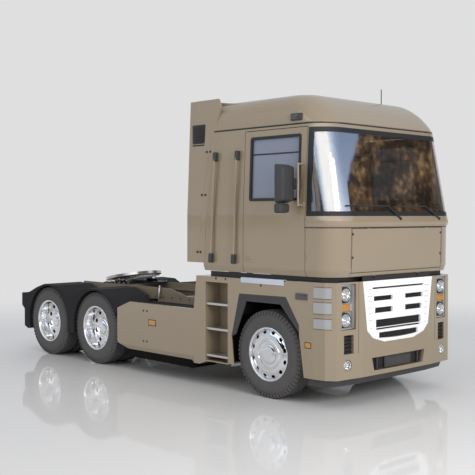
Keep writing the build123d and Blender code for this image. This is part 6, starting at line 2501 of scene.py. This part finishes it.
# ---------------------------------------------------------------- studio
@dataclass
class Landscape:
    """The world: an even grey surround, and a rocky landscape to the front left that only gloss picks up.

    Attributes:
        backdrop: Colour of the even surround.
        streak: Brightness of the sky.
        rock: Shades of the rocks, from their cracks to their lit faces.
        sky: Colours of the sky along a tilted band of bearings.
        air: Colours over the hills, from the skyline up.
        haze: Colour of the sky close to the skyline.
        shadow: Colour of the dark ground to the right.
    """

    backdrop: Colour
    streak: float = 2.3
    rock: Stops = ((0.36, (0.006, 0.004, 0.003)), (0.45, (0.05, 0.028, 0.014)), (0.53, (0.17, 0.095, 0.048)),
                   (0.61, (0.40, 0.24, 0.12)), (0.74, (0.80, 0.58, 0.36)))
    sky: Stops = ((0.00, (0.32, 0.41, 0.58)), (0.20, (0.42, 0.52, 0.68)), (0.29, (0.85, 0.92, 1.0)),
                  (0.38, (1.15, 1.15, 1.15)), (0.68, (1.15, 1.15, 1.15)), (0.77, (0.62, 0.72, 0.92)),
                  (0.86, (0.30, 0.38, 0.56)), (1.00, (0.13, 0.18, 0.30)))
    air: Stops = ((0.0, (0.80, 0.81, 0.83)), (0.05, (0.66, 0.68, 0.72)), (0.12, (0.56, 0.58, 0.63)),
                  (0.45, (0.56, 0.58, 0.62)), (1.0, (0.70, 0.71, 0.73)))
    haze: Colour = (0.44, 0.48, 0.54)
    shadow: Colour = (0.012, 0.014, 0.012)

    def build(self) -> None:
        """Makes the world."""
        world = bpy.data.worlds.new("surround")
        bpy.context.scene.world = world
        world.use_nodes = True
        wires = Wiring(world.node_tree)
        turn = wires.share_of_turn
        place = wires.add("TexCoord").outputs["Generated"]
        split = wires.add("SeparateXYZ", {0: place}).outputs
        height = split["Z"]
        bearing = wires.compute("ARCTAN2", split["Y"], split["X"])
        stretch = wires.add("Mapping", {"Vector": place})
        stretch.inputs["Scale"].default_value = (1.0, 1.0, 0.30)
        rough = wires.add("TexNoise", {"Vector": stretch.outputs["Vector"], "Scale": 330.0, "Detail": 8.0,
                                       "Roughness": 0.62, "Distortion": 0.25}).outputs["Fac"]
        slow = wires.add("TexNoise", {"Vector": place, "Scale": 38.0}).outputs["Fac"]
        shade = wires.compute("MULTIPLY_ADD", slow, 0.55, -0.30)
        rock = wires.ramp(wires.compute("ADD", rough, shade), self.rock)
        tilted = wires.compute("MULTIPLY_ADD", height, math.radians(300.0), bearing)
        sky = wires.ramp(turn(tilted, -60.0, 160.0), self.sky)
        bright = wires.add("VectorMath", {0: sky, "Scale": self.streak}, operation="SCALE").outputs[0]
        brink = wires.compute("ADD", height, wires.compute("MULTIPLY_ADD", slow, 0.10, -0.05))
        near = wires.compute("MULTIPLY", wires.share(brink, 0.222, 0.205), wires.compute(
            "MULTIPLY", turn(bearing, -122.0, -118.0), turn(bearing, -76.0, -82.0)))
        lit = wires.blend(wires.share(height, 0.16, 0.22), wires.colour(self.haze), bright)
        open_sky = wires.blend(near, lit, wires.colour(self.shadow))
        flutter = wires.compute("MULTIPLY_ADD", rough, 0.014, -0.007)
        lean = wires.compute("MULTIPLY_ADD", height, math.radians(-37.3), flutter)
        edge = turn(wires.compute("ADD", bearing, lean), 43.35, 43.45)
        rocks = wires.blend(edge, open_sky, rock)
        sector = wires.compute("MULTIPLY", turn(bearing, -133.4, -132.6), turn(bearing, 84.0, 72.0))
        mask = wires.compute("MULTIPLY", sector, wires.share(height, 0.50, 0.42))
        air = wires.ramp(height, self.air)
        over = wires.compute("SUBTRACT", height, wires.compute("MULTIPLY_ADD", rough, 0.06, -0.016))
        hills = wires.blend(turn(over, 0.0, 0.15), rock, air)
        seen = wires.blend(mask, hills, rocks)
        glossy = wires.add("LightPath").outputs["Is Glossy Ray"]
        wires.feed(world.node_tree.nodes["Background"],
                   {"Color": wires.blend(glossy, wires.colour(self.backdrop), seen)})


@dataclass
class Studio:
    """Floor, lights and camera.

    Attributes:
        camera_at: Where the camera stands.
        azimuth: Degrees that it is turned.
        elevation: Degrees that it looks down.
        lens: Focal length on a 36 mm wide film.
        floor_size: Width of the floor.
        fade: Distances between which the floor goes over into the backdrop.
        backdrop: Colour far away.
    """

    camera_at: Point = (10.172, -9.234, 2.2795)
    azimuth: float = 46.256
    elevation: float = 1.412
    lens: float = 68.58
    floor_size: float = 400.0
    fade: tuple[float, float] = (5.5, 13.0)
    backdrop: Colour = (0.74, 0.74, 0.745)

    def build(self) -> None:
        """Makes floor, lights, world and camera."""
        scene = bpy.context.scene
        scene.view_settings.view_transform = "Standard"
        scene.cycles.caustics_reflective = False
        scene.cycles.caustics_refractive = False
        Landscape(self.backdrop).build()
        self._floor()
        self._light("key", (12.0, -3.5, 4.6), (1.5, 0.0, 1.6), 4.0, 535.0)
        self._light("side", (-1.0, -13.0, 5.0), (-0.5, 0.0, 1.4), 5.0, 150.0)
        self._light("back", (-10.0, 5.0, 6.0), (0.0, 0.0, 1.5), 5.0, 150.0)
        self._camera()

    def _light(self, name: str, place: Point, aim: Point, size: float, power: float) -> None:
        """Adds a soft square light.

        Args:
            name: The light's name.
            place: Where it hangs.
            aim: What it points at.
            size: Its width in metres.
            power: Its power in watts.
        """
        data = bpy.data.lights.new(name, "AREA")
        data.size = size
        data.energy = power
        lamp = bpy.data.objects.new(name, data)
        lamp.location = place
        lamp.visible_glossy = False
        lamp.rotation_euler = (Vector(aim) - Vector(place)).to_track_quat("-Z", "Y").to_euler()
        bpy.context.scene.collection.objects.link(lamp)

    def _floor(self) -> None:
        """Lays the pale polished floor."""
        mesh = bmesh.new()
        bmesh.ops.create_grid(mesh, x_segments=1, y_segments=1, size=self.floor_size / 2)
        data = bpy.data.meshes.new("floor")
        mesh.to_mesh(data)
        mesh.free()
        floor = bpy.data.objects.new("floor", data)
        bpy.context.scene.collection.objects.link(floor)
        made = bpy.data.materials.new("pale_floor")
        made.use_nodes = True
        wires = Wiring(made.node_tree)
        shader = made.node_tree.nodes["Principled BSDF"]
        wires.feed(shader, {"Base Color": (0.72, 0.72, 0.72), "Roughness": 0.05, "IOR": 1.16})
        glow = wires.add("Emission", {"Color": self.backdrop})
        place = wires.add("TexCoord").outputs["Object"]
        reach = wires.add("VectorMath", {0: place}, operation="LENGTH").outputs["Value"]
        far = wires.add("MapRange", {"Value": reach, "From Min": self.fade[0], "From Max": self.fade[1]},
                        interpolation_type="SMOOTHSTEP")
        blend = wires.add("MixShader", {"Fac": far.outputs["Result"], 1: shader.outputs["BSDF"],
                                        2: glow.outputs["Emission"]})
        wires.feed(made.node_tree.nodes["Material Output"], {"Surface": blend.outputs["Shader"]})
        data.materials.append(made)

    def _camera(self) -> None:
        """Places the camera."""
        data = bpy.data.cameras.new("camera")
        data.sensor_width = 36.0
        data.lens = self.lens
        data.clip_end = 500.0
        camera = bpy.data.objects.new("camera", data)
        turn = math.radians(self.azimuth)
        dip = math.radians(self.elevation)
        look = Vector((-math.sin(turn) * math.cos(dip), math.cos(turn) * math.cos(dip), -math.sin(dip)))
        camera.location = self.camera_at
        camera.rotation_euler = look.to_track_quat("-Z", "Y").to_euler()
        bpy.context.scene.collection.objects.link(camera)
        bpy.context.scene.camera = camera


def main() -> None:
    """Builds every sub-assembly in order."""
    logging.basicConfig(level=logging.INFO, format="%(message)s")
    Studio().build()
    dress_nodes()
    WheelSet().build()
    RoofSkin().build()
    CabTrim().build()
    for side in Side:
        Mirror(side).build()
    FrontFace().build()
    build_wipers()
    Underbody().build()
    Interior().build()
    Coupling().build()


if __name__ == "__main__":
    main()
